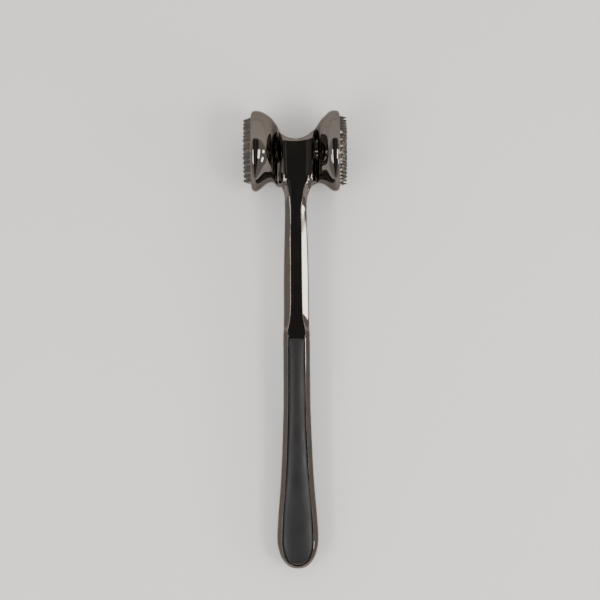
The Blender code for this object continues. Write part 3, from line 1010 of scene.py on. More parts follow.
@dataclass(frozen=True)
class HandleSection:
    """Section through the throat or the shaft.

    Attributes:
        heights: Height of the front row, of its corners and of the sides.
        width: Half width.
        flat: Half width of the front flat.
        inner: Half width of the inner part of the front flat.
        depth: Half thickness.
        side: How far the side's corner is to the front.
        swell: How far the side stands out past its corners.
        shift: How far the middle lies to the side.
    """

    heights: Point
    width: float
    flat: float
    inner: float
    depth: float
    side: float
    swell: float
    shift: float = 0.0

    INNER_SHARE = 0.82
    BULGE = 0.45
    SIDE_ROW = 0.72

    def ring(self) -> list[Point]:
        """Twenty points, from the right-hand front corner over the front to the left and back."""
        y_front, y_corner, y_side = self.heights
        middle = (2 * y_front + y_corner) / 3
        front = [
            (self.width - self.swell, y_corner, self.side),
            (self.flat, middle, self.depth),
            (self.inner, y_front, self.depth),
            (0.0, y_front, self.depth),
        ]
        front += [(-x, y, z) for x, y, z in reversed(front[:3])]
        bulged = self.width - self.BULGE * self.swell
        row = self.SIDE_ROW * self.side
        left = [(-bulged, y_side, row), (-self.width, y_side, 0.0), (-bulged, y_side, -row)]
        rear = [(x, y, -z) for x, y, z in reversed(front)]
        right = [(-x, y, -z) for x, y, z in left]
        return [(x + self.shift, y, z) for x, y, z in front + left + rear + right]


@dataclass
class BodyCasting:
    """The cast body: two hollow bells, the hub between them, the shaft and the grip's rim and web."""

    place: RestFrame
    form: HandleForm
    finish: Finish
    ring_count: int = 20
    levels: int = 3
    fitting_rounds: int = 6
    face_x: float = 0.02415
    lip_depth: float = 0.0028
    lip_radius: float = 0.0208
    bell_radius: float = 0.0222
    mouth_radius: float = 0.0201
    mouth_depth: float = 0.00375
    ledge_radius: float = 0.0174
    wall_x: float = 0.0095
    wall_radius: float = 0.0069
    bore_radius: float = 0.0034
    hub_middle: float = 0.0012
    bells: dict[Side, tuple[BellColumn, ...]] = field(
        default_factory=lambda: {
            Side.FINE: (
                BellColumn(0.0187, 0.0216, 0.0209, 0.0214),
                BellColumn(0.0162, 0.0194, 0.0189, 0.0188),
                BellColumn(0.0140, 0.0171, 0.0179, 0.0156, 0.92),
                BellColumn(0.0125, 0.0148, 0.0177, 0.0112, 0.76),
                BellColumn(0.0113, 0.0128, 0.0181, 0.0042, 0.58),
            ),
            Side.COARSE: (
                BellColumn(0.0187, 0.02175, 0.0205, 0.0216),
                BellColumn(0.0162, 0.0206, 0.0183, 0.0201),
                BellColumn(0.0138, 0.0189, 0.0172, 0.0174, 0.92),
                BellColumn(0.0118, 0.0167, 0.0176, 0.0124, 0.78),
                BellColumn(0.0097, 0.0134, 0.0195, 0.0042, 0.58),
            ),
        }
    )
    # Hub columns from the fine side to the coarse side.
    hub: tuple[HubColumn, ...] = (
        HubColumn(
            0.0090, 0.0115, 0.0064, -0.0154, 3.0, ((0.0092, -0.0184, 0.0038), (0.0089, -0.0196, 0.0)), 0.93
        ),
        HubColumn(0.0067, 0.0098, 0.0071, -0.0146, 3.5, waist=0.92),
        HubColumn(0.0056, 0.0088, 0.0073, -0.0143, 3.9, waist=0.92),
        HubColumn(0.0, 0.00665, 0.0073, -0.0138, 5.5),
        HubColumn(-0.0056, 0.0076, 0.0073, -0.0143, 4.3, waist=0.92),
        HubColumn(-0.0067, 0.0082, 0.0071, -0.0146, 3.9, waist=0.92),
        HubColumn(
            -0.0090, 0.0098, 0.0064, -0.0154, 3.0, ((-0.0081, -0.0186, 0.0038), (-0.0078, -0.0200, 0.0)), 0.93
        ),
    )
    # Rings that carry the hub over into the shaft: shift to the side, height of the front, of the corner
    # and of the side, half width, half width of the front flat, half thickness, half height of the side.
    throat: tuple[tuple[float, ...], ...] = (
        (0.0004, -0.0186, -0.0200, -0.0224, 0.00715, 0.0052, 0.0070, 0.0049),
        (0.0002, -0.0232, -0.0240, -0.0254, 0.00635, 0.0043, 0.0068, 0.0047),
        (0.0000, -0.0284, -0.0288, -0.0296, 0.00605, 0.0037, 0.0066, 0.0048),
    )
    throat_swell: float = 0.0003
    shaft_swell: float = 0.0006
    # Where the shaft starts to widen to the grip, and how deep its chamfers are for their width: on the
    # shaft, what is added at the grip, and on the rim.
    widening_start: float = -0.088
    chamfer_depth: float = 0.64
    chamfer_gain: float = 0.26
    rim_chamfer_depth: float = 0.9
    least_land: float = 0.0003
    shaft_heights: tuple[float, ...] = (-0.034, -0.045, -0.060, -0.075, -0.088, -0.0955, -0.0990, -0.1018)
    rim_stations: tuple[float, ...] = (
        0.012, 0.055, 0.12, 0.22, 0.33, 0.45, 0.57, 0.69, 0.80, 0.90, 1.0, 1.18, 1.36, 1.53, 1.69, 1.84,
    )  # fmt: skip

    # How firmly edges are held when the skin is subdivided: the head's inner rings by number, then the
    # shaft's and the rim's long edges, the pockets' edges and their top corners.
    held_rings: tuple[float, ...] = (0.0, 1.0, 0.8, 0.9, 1.0, 0.62, 0.35)
    held_shaft: float = 0.35
    held_rim: float = 0.25
    held_pocket: float = 1.0
    held_corner: float = 0.45
    smooth_angle: float = 62.0

    # First tags of the head, the handle, the rim and the pocket floors, and the steps between their rows.
    HEAD = 100
    HANDLE = 2000
    RIM = 4000
    RIM_STEP = 20
    LEFT_STEP = 10
    FLOOR = 8000
    FLOOR_STEP = 500

    RIM_ROWS = 9
    RIM_SIDE_ROW = 0.76
    HUB_COLUMNS = 7
    FIRST_HELD_HANDLE_RING = 3

    def head_tag(self, ring: int, k: int) -> int:
        """Tag of a point on a ring of the head."""
        return self.HEAD + ring * self.ring_count + k % self.ring_count

    def handle_tag(self, ring: int, j: int) -> int:
        """Tag of a point on a ring of the handle."""
        return self.HANDLE + ring * self.ring_count + j % self.ring_count

    def rim_tag(self, section: int, left: bool, m: int) -> int:
        """Tag of a point on a section of the grip's rim, from the front pocket's edge to the rear one's."""
        return self.RIM + section * self.RIM_STEP + (self.LEFT_STEP if left else 0) + m

    def head_loop(self, ring: int) -> list[int]:
        """Tags round a ring of the head."""
        return [self.head_tag(ring, k) for k in range(self.ring_count)]

    def rim_row(self, section: int, left: bool) -> list[int]:
        """Tags across a section of the grip's rim."""
        return [self.rim_tag(section, left, m) for m in range(self.RIM_ROWS)]

    def circle(self, x: float, radius: float) -> list[Point]:
        """Ring of points on a circle about the head's axis."""
        angles = [2 * math.pi / self.ring_count * k for k in range(self.ring_count)]
        return [(x, radius * math.cos(angle), radius * math.sin(angle)) for angle in angles]

    def half_head(self, side: Side) -> list[list[Point]]:
        """Rings from the bore in the hub's wall out to the lip and back in to the hub's edge."""
        s = side.value
        shoulder = self.face_x - self.lip_depth
        diagonal = math.sin(math.radians(45))
        rings = [
            self.circle(s * self.wall_x, self.bore_radius),
            self.circle(s * self.wall_x, self.wall_radius),
            self.circle(s * (self.face_x - self.mouth_depth), self.ledge_radius),
            self.circle(s * (self.face_x - self.mouth_depth), self.mouth_radius),
            self.circle(s * self.face_x, self.mouth_radius),
            self.circle(s * self.face_x, self.lip_radius),
            self.circle(
                s * (self.face_x - self.lip_depth * (1 - diagonal)),
                self.lip_radius + (self.bell_radius - self.lip_radius) * diagonal,
            ),
            self.circle(s * shoulder, self.bell_radius),
        ]
        return rings + [column.ring(side, self.ring_count) for column in self.bells[side]]

    def head_rings(self) -> tuple[list[list[Point]], int]:
        """All rings of the head in order, and the number of the first hub ring."""
        rings = [self.circle(0.0, self.bore_radius)] + self.half_head(Side.FINE)
        first_hub = len(rings)
        rings += [column.ring(self.hub_middle, self.ring_count) for column in self.hub]
        rings += reversed(self.half_head(Side.COARSE))
        rings.append(self.circle(0.0, self.bore_radius))
        return rings, first_hub

    def build_head(self, bench: Bench, rings: list[list[Point]]) -> None:
        """Extrudes the head's rings one from the other."""
        for r in range(1, len(rings)):
            bench.extrude_loop(self.head_loop(r - 1), self.head_loop(r), rings[r])

    def opening(self, first_hub: int) -> list[int]:
        """Tags round the opening that the handle grows from, in the order of a handle ring."""
        columns = range(first_hub, first_hub + self.HUB_COLUMNS)
        last = columns[-1]
        front = [self.head_tag(r, 8) for r in columns]
        left = [self.head_tag(last, k) for k in (9, 10, 11)]
        rear = [self.head_tag(r, 12) for r in reversed(columns)]
        right = [self.head_tag(first_hub, k) for k in (11, 10, 9)]
        return front + left + rear + right

    def handle_rings(self) -> list[list[Point]]:
        """Rings of the throat and the shaft, down to the top of the pockets."""
        rings = []
        share = HandleSection.INNER_SHARE
        for shift, y_front, y_corner, y_side, width, flat, depth, side in self.throat:
            heights = (y_front, y_corner, y_side)
            section = HandleSection(heights, width, flat, share * flat, depth, side, self.throat_swell, shift)
            rings.append(section.ring())
        for y in self.shaft_heights:
            width, flat, depth = self.form.sizes(y)
            towards_pocket = to_unit((self.widening_start - y) / (self.widening_start - self.form.pocket_top))
            swell = self.shaft_swell * (1 - towards_pocket)
            side = depth - (self.chamfer_depth + self.chamfer_gain * towards_pocket) * (width - swell - flat)
            inner = share * flat + (width - self.form.rim - share * flat) * towards_pocket**2
            rings.append(HandleSection((y, y, y), width, flat, inner, depth, side, swell).ring())
        return rings

    def build_shaft(self, bench: Bench, first_hub: int) -> int:
        """Opens the head's underside and extrudes the shaft from it.

        Args:
            bench: The piece.
            first_hub: Number of the first hub ring.

        Returns:
            The number of the last handle ring.
        """
        columns = range(first_hub, first_hub + self.HUB_COLUMNS)
        bench.delete_faces({self.head_tag(r, k) for r in columns for k in range(8, 13)})
        old = self.opening(first_hub)
        rings = self.handle_rings()
        for number, points in enumerate(rings):
            new = [self.handle_tag(number, j) for j in range(self.ring_count)]
            bench.extrude_loop(old, new, points)
            old = new
        return len(rings) - 1

    def rim_section(self, t: float, left: bool) -> list[Point]:
        """Nine points round the rim at t, from the front pocket's edge to the rear pocket's."""
        depth = self.form.half_thickness(t)
        width, flat, _ = self.form.sizes(min(self.form.edge(t).y, self.form.pocket_top))
        rim = self.form.rim + self.form.rim_change(t)
        chamfer = min(width - flat if t <= 1.0 else self.form.rim, rim - self.least_land)
        side = depth - self.rim_chamfer_depth * chamfer
        row = self.RIM_SIDE_ROW * side
        outline = self.form.edge(t)
        corner = outline - self.form.outward(t) * chamfer
        pocket = outline - self.form.outward(t) * rim
        front = [(pocket.x, pocket.y, depth), (corner.x, corner.y, depth), (outline.x, outline.y, side)]
        edge = [(outline.x, outline.y, z) for z in (row, 0.0, -row)]
        rear = [(x, y, -z) for x, y, z in reversed(front)]
        points = front + edge + rear
        return [(-x, y, z) for x, y, z in points] if left else points

    def build_rim(self, bench: Bench, last_ring: int) -> int:
        """Extrudes both rims round to the tip and joins them there.

        Args:
            bench: The piece.
            last_ring: Number of the handle ring at the pockets' top.

        Returns:
            The number of the tip's section.
        """
        chains = {
            False: [self.handle_tag(last_ring, j) for j in (2, 1, 0, 19, 18, 17, 16, 15, 14)],
            True: [self.handle_tag(last_ring, j) for j in (4, 5, 6, 7, 8, 9, 10, 11, 12)],
        }
        for section, t in enumerate(self.rim_stations):
            renamed: dict[int, int] = {}
            places: dict[int, Point] = {}
            for left, chain in chains.items():
                new = self.rim_row(section, left)
                renamed.update(zip(chain, new))
                places.update(zip(new, self.rim_section(t, left)))
            bench.extrude(list(chains.values()), renamed, places)
            chains = {left: [renamed[tag] for tag in chain] for left, chain in chains.items()}
        tip = len(self.rim_stations)
        new = self.rim_row(tip, False)
        points = self.rim_section(self.form.TIP, False)
        bench.extrude([chains[False]], dict(zip(chains[False], new)), dict(zip(new, points)))
        bench.bridge(new, chains[True])
        return tip

    def pocket_loop(self, last_ring: int, tip: int, facing: Facing) -> list[int]:
        """Tags round the edge of one pocket."""
        top = (2, 3, 4) if facing is Facing.FRONT else (14, 13, 12)
        m = 0 if facing is Facing.FRONT else 8
        loop = [self.handle_tag(last_ring, j) for j in top]
        loop += [self.rim_tag(section, True, m) for section in range(tip)]
        loop.append(self.rim_tag(tip, False, m))
        loop += [self.rim_tag(section, False, m) for section in reversed(range(tip))]
        return loop

    def build_pocket(self, bench: Bench, loop: list[int], facing: Facing) -> list[int]:
        """Sinks one pocket down to the web.

        Args:
            bench: The piece.
            loop: Tags round the pocket's edge.
            facing: Which side the pocket is on.

        Returns:
            Tags round the pocket's floor.
        """
        first = self.FLOOR + self.FLOOR_STEP * (facing.value + 1)
        floor = list(range(first, first + len(loop)))
        web = facing.value * self.form.web_half
        bench.extrude_loop(loop, floor, [(x, y, web) for x, y, _ in bench.places(loop)])
        bench.fill(floor)
        return floor

    def build(self) -> Piece:
        """Makes the whole casting as one smooth closed skin."""
        rings, first_hub = self.head_rings()
        bench = Bench("cast_body", rings[0], self.head_loop(0))
        self.build_head(bench, rings)
        last_ring = self.build_shaft(bench, first_hub)
        tip = self.build_rim(bench, last_ring)
        edges, floors = [], []
        for facing in Facing:
            loop = self.pocket_loop(last_ring, tip, facing)
            floors.append(self.build_pocket(bench, loop, facing))
            edges.append(loop)
        self.hold_edges(bench, edges + floors, last_ring, len(rings))
        self.hold_facets(bench, last_ring)
        bench.merge()
        piece = bench.finish(self.levels, self.fitting_rounds)
        return complete(piece, self.place, self.smooth_angle, self.finish)

    def hold_facets(self, bench: Bench, last_ring: int) -> None:
        """Keeps the long chamfers of the shaft and the rim flat between their edges.

        Args:
            bench: The piece.
            last_ring: Number of the handle ring at the pockets' top.
        """
        rings = range(self.FIRST_HELD_HANDLE_RING, last_ring + 1)
        for j in (0, 1, 5, 6, 10, 11, 15, 16):
            bench.crease([[self.handle_tag(ring, j) for ring in rings]], self.held_shaft)
        tip = len(self.rim_stations)
        for m in (1, 2, 6, 7):
            row = [self.rim_tag(section, False, m) for section in range(tip + 1)]
            row += [self.rim_tag(section, True, m) for section in reversed(range(tip))]
            bench.crease([row], self.held_rim)

    def hold_edges(self, bench: Bench, pockets: list[list[int]], last_ring: int, ring_total: int) -> None:
        """Keeps the pockets, the mouths and the bore crisp.

        Args:
            bench: The piece.
            pockets: Tags round the edges and the floors of the pockets.
            last_ring: Number of the handle ring at the pockets' top.
            ring_total: How many rings the head has.
        """
        bench.crease([closed(loop) for loop in pockets], self.held_pocket)
        bench.crease_corners([self.handle_tag(last_ring, j) for j in (2, 4, 12, 14)], self.held_corner)
        for ring, value in enumerate(self.held_rings):
            if value:
                for number in (ring, ring_total - 1 - ring):
                    bench.crease([closed(self.head_loop(number))], value)


# ------------------------------------------------------------------------------ tooth plates


@dataclass(frozen=True)
class ToothPattern:
    """Size and spacing of the pyramids on one face."""

    height: float
    base: float
    tip: float
    pitch: float
    row: float
    edge_round: float

    def centres(self, field_radius: float) -> list[tuple[float, float]]:
        """(y, z) of each pyramid that fits in the field, in staggered rows."""
        found = []
        rows = int(field_radius / self.row)
        for row in range(-rows, rows + 1):
            shift = self.pitch / 2 if row % 2 else 0.0
            columns = int(field_radius / self.pitch) + 1
            for column in range(-columns, columns + 1):
                y, z = column * self.pitch + shift, row * self.row
                if math.hypot(abs(y) + self.base / 2, abs(z) + self.base / 2) <= field_radius:
                    found.append((y, z))
        return found


@dataclass
class ToothPlate:
    """A striking face: a disc with a spigot and a boss behind it and pyramids in front."""

    side: Side
    pattern: ToothPattern
    place: RestFrame
    finish: Finish
    boss_end: float
    face_x: float = 0.02415
    radius: float = 0.0198
    rim: float = 0.00185
    spigot_radius: float = 0.0181
    spigot_end: float = 0.0207
    boss_radius: float = 0.0065
    bore_radius: float = 0.0033
    bore_end: float = 0.0179
    field_radius: float = 0.0196
    root: float = 0.0004
    round_points: int = 72
    rim_bevel: float = 0.00028
    smooth_angle: float = 32.0

    NEAR = 1e-5
    ON_AXIS = 1e-4
    LOOKS_BACK = -0.9

    def is_back(self, face: bmesh.types.BMFace, x: float) -> bool:
        """Says whether a face lies on the axis at a distance and looks to the head's middle."""
        centre = face.calc_center_median()
        on_axis = math.hypot(centre.y, centre.z) < self.ON_AXIS
        return on_axis and abs(centre.x - x) < self.NEAR and face.normal.x < self.LOOKS_BACK

    def is_outer_edge(self, edge: bmesh.types.BMEdge) -> bool:
        """Says whether an edge runs round the disc's outside."""
        first, second = (vertex.co for vertex in edge.verts)
        radii = [math.hypot(end.y, end.z) for end in (first, second)]
        return all(abs(r - self.radius) < self.NEAR for r in radii) and abs(first.x - second.x) < self.NEAR

    def build_disc(self) -> Piece:
        """Turns the disc, its spigot and its bored boss out of a cylinder, on the +X side."""
        deselect_everything()
        bpy.ops.mesh.primitive_cylinder_add(
            vertices=self.round_points,
            radius=self.radius,
            depth=self.rim,
            location=(self.face_x - self.rim / 2, 0.0, 0.0),
            rotation=(0.0, math.radians(90), 0.0),
        )
        disc = bpy.context.object
        settle(disc)
        bpy.ops.object.mode_set(mode="EDIT")
        steps = (
            (self.face_x - self.rim, self.radius - self.spigot_radius, self.spigot_end),
            (self.spigot_end, self.spigot_radius - self.boss_radius, self.boss_end),
            (self.boss_end, self.boss_radius - self.bore_radius, self.bore_end),
        )
        for start, narrowing, end in steps:
            pick(disc, Part.FACES, lambda face: self.is_back(face, start))
            bpy.ops.mesh.inset(thickness=narrowing, depth=0.0)
            bpy.ops.mesh.extrude_region_move(TRANSFORM_OT_translate={"value": (end - start, 0.0, 0.0)})
        pick(disc, Part.EDGES, self.is_outer_edge)
        bpy.ops.mesh.bevel(offset=self.rim_bevel, segments=3)
        bpy.ops.object.mode_set(mode="OBJECT")
        return disc

    def build_tooth(self) -> Piece:
        """One pyramid with a blunt tip and softened edges, standing on the face at the middle."""
        deselect_everything()
        slope = (self.pattern.base - self.pattern.tip) / self.pattern.height
        depth = self.pattern.height + self.root
        bpy.ops.mesh.primitive_cone_add(
            vertices=4,
            radius1=(self.pattern.base + slope * self.root) / math.sqrt(2),
            radius2=self.pattern.tip / math.sqrt(2),
            depth=depth,
        )
        tooth = bpy.context.object
        tooth.matrix_world = (
            Matrix.Translation((self.face_x - self.root + depth / 2, 0.0, 0.0))
            @ Matrix.Rotation(math.radians(90), 4, "Y")
            @ Matrix.Rotation(math.radians(45), 4, "Z")
        )
        settle(tooth)
        bpy.ops.object.mode_set(mode="EDIT")
        half_way = self.face_x + self.pattern.height / 2
        pick(tooth, Part.EDGES, lambda edge: max(vertex.co.x for vertex in edge.verts) > half_way)
        bpy.ops.mesh.bevel(offset=self.pattern.edge_round, segments=2)
        bpy.ops.object.mode_set(mode="OBJECT")
        return tooth

    def build_teeth(self) -> Piece:
        """Copies the pyramid to every place and joins the copies."""
        model = self.build_tooth()
        copies = []
        for y, z in self.pattern.centres(self.field_radius):
            copy = model.copy()
            copy.data = model.data.copy()
            copy.data.transform(Matrix.Translation((0.0, y, z)))
            bpy.context.collection.objects.link(copy)
            copies.append(copy)
        bpy.data.objects.remove(model)
        deselect_everything()
        for copy in copies:
            copy.select_set(True)
        bpy.context.view_layer.objects.active = copies[0]
        bpy.ops.object.join()
        return copies[0]

    def build(self) -> Piece:
        """Makes the plate as one solid on its own side of the head."""
        plate = self.build_disc()
        teeth = self.build_teeth()
        apply_modifier(plate, "BOOLEAN", operation="UNION", object=teeth, solver="EXACT")
        bpy.data.objects.remove(teeth)
        plate.name = plate.data.name = self.side.name.lower() + "_face"
        if self.side is Side.COARSE:
            make_active(plate)
            bpy.ops.object.mode_set(mode="EDIT")
            bpy.ops.mesh.select_all(action="SELECT")
            bpy.ops.transform.mirror(constraint_axis=(True, False, False), center_override=(0.0, 0.0, 0.0))
            turn_faces_out()
            bpy.ops.object.mode_set(mode="OBJECT")
        return complete(plate, self.place, self.smooth_angle, self.finish)


# ------------------------------------------------------------------------------ grip panels


@dataclass
class GripPanel:
    """A soft-touch panel that lies in one pocket of the grip."""

    facing: Facing
    place: RestFrame
    form: HandleForm
    finish: Finish
    clearance: float = 0.00042
    edge_drop: float = 0.0008
    edge_height: float = 0.0009
    edge_width: float = 0.0010
    crown: float = 0.0010
    crown_fullness: float = 2.2
    crown_rise: float = 0.011
    corner: float = 0.0009
    underside: float = 0.0026
    side_end: float = 1.58
    wall_drops: tuple[float, ...] = (0.35, 1.0)
    levels: int = 2
    smooth_angle: float = 50.0
    outline_steps: tuple[int, int, int] = (160, 60, 40)
    across: tuple[float, ...] = (0.0, 0.22, 0.44, 0.64, 0.80, 0.90, 0.96, 0.988, 1.0)
    along: tuple[float, ...] = (
        0.0, 0.0016, 0.005, 0.011, 0.02, 0.035, 0.06, 0.09, 0.13, 0.18, 0.24, 0.30, 0.37, 0.44, 0.51,
        0.58, 0.65, 0.71, 0.77, 0.82, 0.865, 0.90, 0.93, 0.95, 0.967, 0.980, 0.989, 0.995, 0.998, 1.0,
    )  # fmt: skip

    def border(self, t: float) -> Vector:
        """Point on the panel's right-hand outline."""
        return self.form.inset(t, self.form.rim + self.clearance)

    def top(self, u: float) -> Vector:
        """Point on the top edge, whose corners are rounded."""
        high = self.form.pocket_top - self.clearance
        half = self.border(0.0).x
        into_corner = max(abs(u) * half - (half - self.corner), 0.0) / self.corner
        drop = self.corner * (1 - quarter_round(into_corner))
        return Vector((u * half, high - drop))

    def bottom(self, u: float) -> Vector:
        """Point on the rounded bottom edge."""
        point = self.border(2.0 - (2.0 - self.side_end) * abs(u))
        return Vector((math.copysign(point.x, u) if u else 0.0, point.y))

    def flank(self, v: float) -> Vector:
        """Point on the right-hand side between the top edge and the bottom edge."""
        start = (self.corner + self.clearance) / (self.form.pocket_top - self.form.end_start)
        return self.border(start + (self.side_end - start) * v)

    def plan(self, u: float, v: float) -> Vector:
        """Point inside the outline, blended from its four edges."""
        right = self.flank(v)
        left = Vector((-right.x, right.y))
        side = left + (right - left) * (u + 1) / 2
        ends = self.top(u) * (1 - v) + self.bottom(u) * v
        top_side = self.top(-1.0) + (self.top(1.0) - self.top(-1.0)) * (u + 1) / 2
        bottom_side = self.bottom(-1.0) + (self.bottom(1.0) - self.bottom(-1.0)) * (u + 1) / 2
        return side + ends - (top_side * (1 - v) + bottom_side * v)

    def outline(self) -> list[Vector]:
        """Close row of points round the outline."""
        flank_steps, bottom_steps, top_steps = self.outline_steps
        flank = [self.flank(i / flank_steps) for i in range(flank_steps + 1)]
        bottom = [self.bottom(1 - 2 * i / bottom_steps) for i in range(bottom_steps + 1)]
        top = [self.top(-1 + 2 * i / top_steps) for i in range(top_steps + 1)]
        return flank + bottom + [Vector((-point.x, point.y)) for point in reversed(flank)] + top

    def height(self, point: Vector, u: float, outline: list[Vector]) -> float:
        """How far the panel's face stands in front of the web's middle.

        Args:
            point: Where on the panel.
            u: How far across it is, from -1 to 1.
            outline: Close row of points round the outline.

        Returns:
            The height.
        """
        inwards = min((point - edge).length for edge in outline)
        edge = self.edge_height * quarter_round(1 - min(inwards / self.edge_width, 1.0))
        from_end = min(self.form.pocket_top - point.y, point.y - self.bottom(0.0).y)
        rise = quarter_round(1 - to_unit(from_end / self.crown_rise))
        crown = self.crown * (1 - abs(u) ** self.crown_fullness) * rise
        t = to_unit((self.form.pocket_top - point.y) / (self.form.pocket_top - self.form.end_start))
        return self.form.half_thickness(t) * self.form.thinning(point.y) - self.edge_drop + edge + crown

    def build(self) -> Piece:
        """Makes the panel as one closed skin from a grid."""
        columns = [-u for u in reversed(self.across[1:])] + list(self.across)
        across, down = len(columns) - 1, len(self.along) - 1
        deselect_everything()
        bpy.ops.mesh.primitive_grid_add(x_subdivisions=across, y_subdivisions=down, size=2.0)
        panel = bpy.context.object
        panel.name = panel.data.name = self.facing.name.lower() + "_panel_skin"
        outline = self.outline()
        for vertex in panel.data.vertices:
            u = columns[round((vertex.co.x + 1) / 2 * across)]
            point = self.plan(u, self.along[round((1 - vertex.co.y) / 2 * down)])
            vertex.co = (point.x, point.y, self.height(point, u, outline))
        bpy.ops.object.mode_set(mode="EDIT")
        bpy.ops.mesh.select_mode(type="EDGE")
        bpy.ops.mesh.select_all(action="SELECT")
        bpy.ops.mesh.region_to_loop()
        for drop in self.wall_drops:
            extrude_in_place()
            shape = bmesh.from_edit_mesh(panel.data)
            for vertex in shape.verts:
                if vertex.select:
                    vertex.co.z += (self.underside - vertex.co.z) * drop
            bmesh.update_edit_mesh(panel.data)
        bpy.ops.transform.edge_crease(value=1.0)
        bpy.ops.mesh.edge_face_add()
        if self.facing is Facing.REAR:
            bpy.ops.mesh.select_all(action="SELECT")
            bpy.ops.transform.mirror(constraint_axis=(False, False, True), center_override=(0.0, 0.0, 0.0))
        turn_faces_out()
        bpy.ops.object.mode_set(mode="OBJECT")
        apply_modifier(panel, "SUBSURF", levels=self.levels, render_levels=self.levels)
        return complete(panel, self.place, self.smooth_angle, self.finish)


# ------------------------------------------------------------------------------ parts kept from the frame


@dataclass(frozen=True)
class KeptHardware:
    """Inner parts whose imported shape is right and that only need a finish."""

    finish: Finish
    nodes: tuple[str, ...]

    def dress(self, packed: dict[str, Piece]) -> None:
        """Gives each of the nodes its finish."""
        for name in self.nodes:
            self.finish.dress(packed[name])
            LOG.info("dressed %s", name)


# ------------------------------------------------------------------------------ studio


@dataclass(frozen=True)
class SoftBox:
    """One rectangular light beside the mallet, set out in the upright frame."""

    name: str
    place: Point
    size: tuple[float, float]
    radiance: float
    mirrored: bool = True
    tint: Point = (1.0, 0.97, 0.93)

    def build(self, frame_matrix: Matrix) -> None:
        """Hangs the light, its second size along the mallet, and turns it to the mallet's middle line.

        Args:
            frame_matrix: Where the upright frame lies.
        """
        light = bpy.data.lights.new(self.name, "AREA")
        light.shape = "RECTANGLE"
        light.size, light.size_y = self.size
        light.color = self.tint
        light.energy = self.radiance * math.pi * self.size[0] * self.size[1]
        lamp = bpy.data.objects.new(self.name, light)
        back = Vector((self.place[0], 0.0, self.place[2])).normalized()
        along = Vector((0.0, 1.0, 0.0))
        turn = Matrix((along.cross(back), along, back)).transposed()
        lamp.matrix_world = frame_matrix @ Matrix.Translation(self.place) @ turn.to_4x4()
        lamp.visible_camera = False
        lamp.visible_glossy = self.mirrored
        bpy.context.scene.collection.objects.link(lamp)


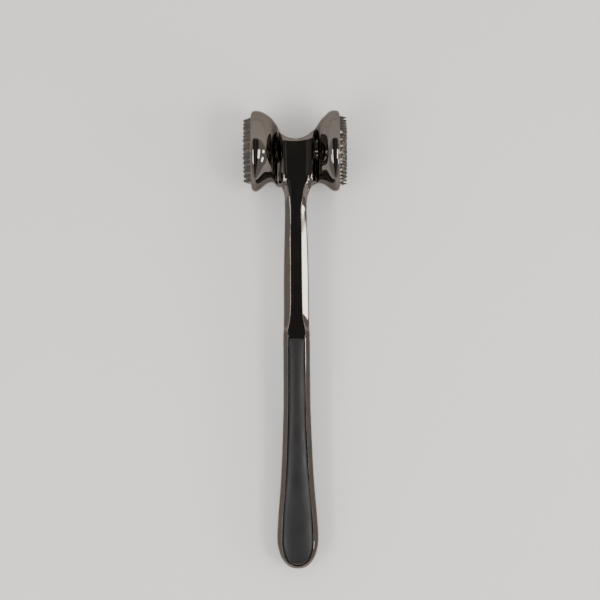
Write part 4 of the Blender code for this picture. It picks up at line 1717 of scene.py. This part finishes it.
@dataclass
class Studio:
    """Floor, soft light and camera."""

    place: RestFrame
    floor_finish: Finish
    floor_half: float = 2.2
    floor_height: float = -0.0002
    camera_distance: float = 1.0
    lens: float = 109.7
    aim: tuple[float, float] = (0.0020, -0.0815)
    roll: float = -0.0065
    # Angles, in degrees from the camera's line, where each pale part of the room starts and is full.
    top_bounds: Range = (26.0, 31.0)
    left_bounds: Range = (-29.0, -35.0)
    right_bounds: Range = (29.0, 34.0)
    streak_bounds: tuple[Range, Range] = ((1.0, 4.0), (11.0, 7.0))
    top_glow: float = 1.3
    left_glow: float = 0.62
    right_glow: float = 0.55
    streak_glow: float = 0.16
    base_glow: float = 0.10
    room_colour: Point = (1.0, 0.965, 0.93)
    boxes: tuple[SoftBox, ...] = (
        SoftBox("right_box", (1.00, -0.075, 0.46), (0.24, 0.13), 16.0),
        SoftBox("right_low_box", (1.00, -0.50, 0.46), (0.24, 0.26), 12.0),
        SoftBox("left_box", (-0.86, -0.47, 0.80), (0.16, 0.40), 7.0),
        SoftBox("right_strip", (0.62, -0.26, 1.00), (0.28, 0.52), 11.0),
        SoftBox("left_strip", (-0.62, -0.45, 1.00), (0.22, 0.90), 8.0),
        SoftBox("ceiling_panel", (0.0, 0.10, 2.40), (2.40, 2.40), 1.1, mirrored=False),
    )

    def build_floor(self) -> None:
        """Lays the floor just under the mallet."""
        deselect_everything()
        size, place = 2 * self.floor_half, (0.0, 0.0, self.floor_height)
        bpy.ops.mesh.primitive_grid_add(x_subdivisions=6, y_subdivisions=6, size=size, location=place)
        floor = bpy.context.object
        floor.name = "studio_floor"
        settle(floor)
        self.floor_finish.dress(floor)

    def build_room_light(self) -> None:
        """A dim room that is paler towards the top and the sides than round the camera."""
        world = bpy.data.worlds.new("soft_room")
        bpy.context.scene.world = world
        world.use_nodes = True
        world.node_tree.nodes.clear()
        sheet = NodeSheet(world.node_tree)
        direction = sheet.add("SeparateXYZ")
        sheet.put(direction.inputs[0], sheet.add("TexCoord").outputs["Generated"])
        x, y, z = direction.outputs
        towards_top = sheet.math("ARCTAN2", y, z)
        towards_side = sheet.math("ARCTAN2", x, z)

        def band(angle: Socket, bounds: Range) -> Socket:
            """Mask that is 0 at the first bound, in degrees, and 1 at the second."""
            return sheet.spread(angle, *map(math.radians, bounds))

        left = sheet.times(band(towards_side, self.left_bounds), self.left_glow)
        right = sheet.times(band(towards_side, self.right_bounds), self.right_glow)
        streak = sheet.times(*(band(towards_side, bounds) for bounds in self.streak_bounds))
        room = sheet.plus(left, right, sheet.times(streak, self.streak_glow), self.base_glow)
        top = sheet.times(band(towards_top, self.top_bounds), self.top_glow)
        glow = sheet.add("Background")
        sheet.feed(glow, Color=self.room_colour, Strength=sheet.math("MAXIMUM", room, top))
        sheet.feed(sheet.add("OutputWorld"), Surface=glow.outputs[0])

    def build_camera(self) -> None:
        """Sets the camera square to the mallet's front."""
        data = bpy.data.cameras.new("studio_camera")
        data.lens = self.lens
        data.sensor_width = 36.0
        data.clip_start, data.clip_end = 0.01, 50.0
        camera = bpy.data.objects.new("studio_camera", data)
        stand = Matrix.Translation((self.aim[0], self.aim[1], self.camera_distance))
        camera.matrix_world = self.place.matrix @ stand @ Matrix.Rotation(self.roll, 4, "Z")
        bpy.context.scene.collection.objects.link(camera)
        bpy.context.scene.camera = camera

    def build(self) -> None:
        """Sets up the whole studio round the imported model."""
        self.build_floor()
        for box in self.boxes:
            box.build(self.place.matrix)
        self.build_room_light()
        self.build_camera()


# ------------------------------------------------------------------------------ everything


def place_piece(piece: Piece, nodes: Sequence[str]) -> None:
    """Puts a finished piece on the frame.

    Args:
        piece: The piece.
        nodes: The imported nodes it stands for.
    """
    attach(piece, "root")
    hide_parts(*nodes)
    LOG.info("placed %s: %d faces", piece.name, len(piece.data.polygons))


def write_sizes() -> None:
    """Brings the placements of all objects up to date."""
    bpy.context.view_layer.update()


def main() -> None:
    """Builds every piece in order."""
    logging.basicConfig(level=logging.INFO, format="%(name)s: %(message)s")
    place = RestFrame.from_record(frame["record"], mount_place=(0.0, -0.005, 0.007))
    form = HandleForm()
    casting = BlackNickel()
    # The tooth plating darkens the hollows between the pyramids with painted shade.
    plating = BlackNickel(
        name="tooth_nickel", colour=(0.10, 0.093, 0.088), clean=0.16, hazed=0.28, wear=0.7, hollow_shade=0.8
    )
    soft = SoftTouch()
    coarse = ToothPattern(
        height=0.0043, base=0.0035, tip=0.0005, pitch=0.00466, row=0.0041, edge_round=0.00013
    )
    fine = ToothPattern(height=0.0040, base=0.0024, tip=0.0004, pitch=0.0036, row=0.0031, edge_round=0.00010)
    place_piece(BodyCasting(place, form, casting).build(), ["body_casting"])
    for side, pattern, boss_end in ((Side.COARSE, coarse, 0.0098), (Side.FINE, fine, 0.0114)):
        plate = ToothPlate(side, pattern, place, plating, boss_end).build()
        place_piece(plate, [side.name.lower() + "_tooth_plate"])
    for facing, node in ((Facing.FRONT, "front_grip_panel"), (Facing.REAR, "rear_grip_panel")):
        place_piece(GripPanel(facing, place, form, soft).build(), [node])
    screws = ("panel_screw_upper", "panel_screw_middle", "panel_screw_lower")
    kept = (
        KeptHardware(ZincSteel(), ("plate_tie_stud", "plate_dowel", "lock_washer", *screws)),
        KeptHardware(MouldedRubber(), ("coarse_plate_seal", "fine_plate_seal", "front_panel_gasket")),
        KeptHardware(TapeFoam(), ("rear_adhesive_pad",)),
    )
    for hardware in kept:
        hardware.dress(frame["nodes"])
    Studio(place, PaleFloor()).build()
    write_sizes()


if __name__ == "__main__":
    main()
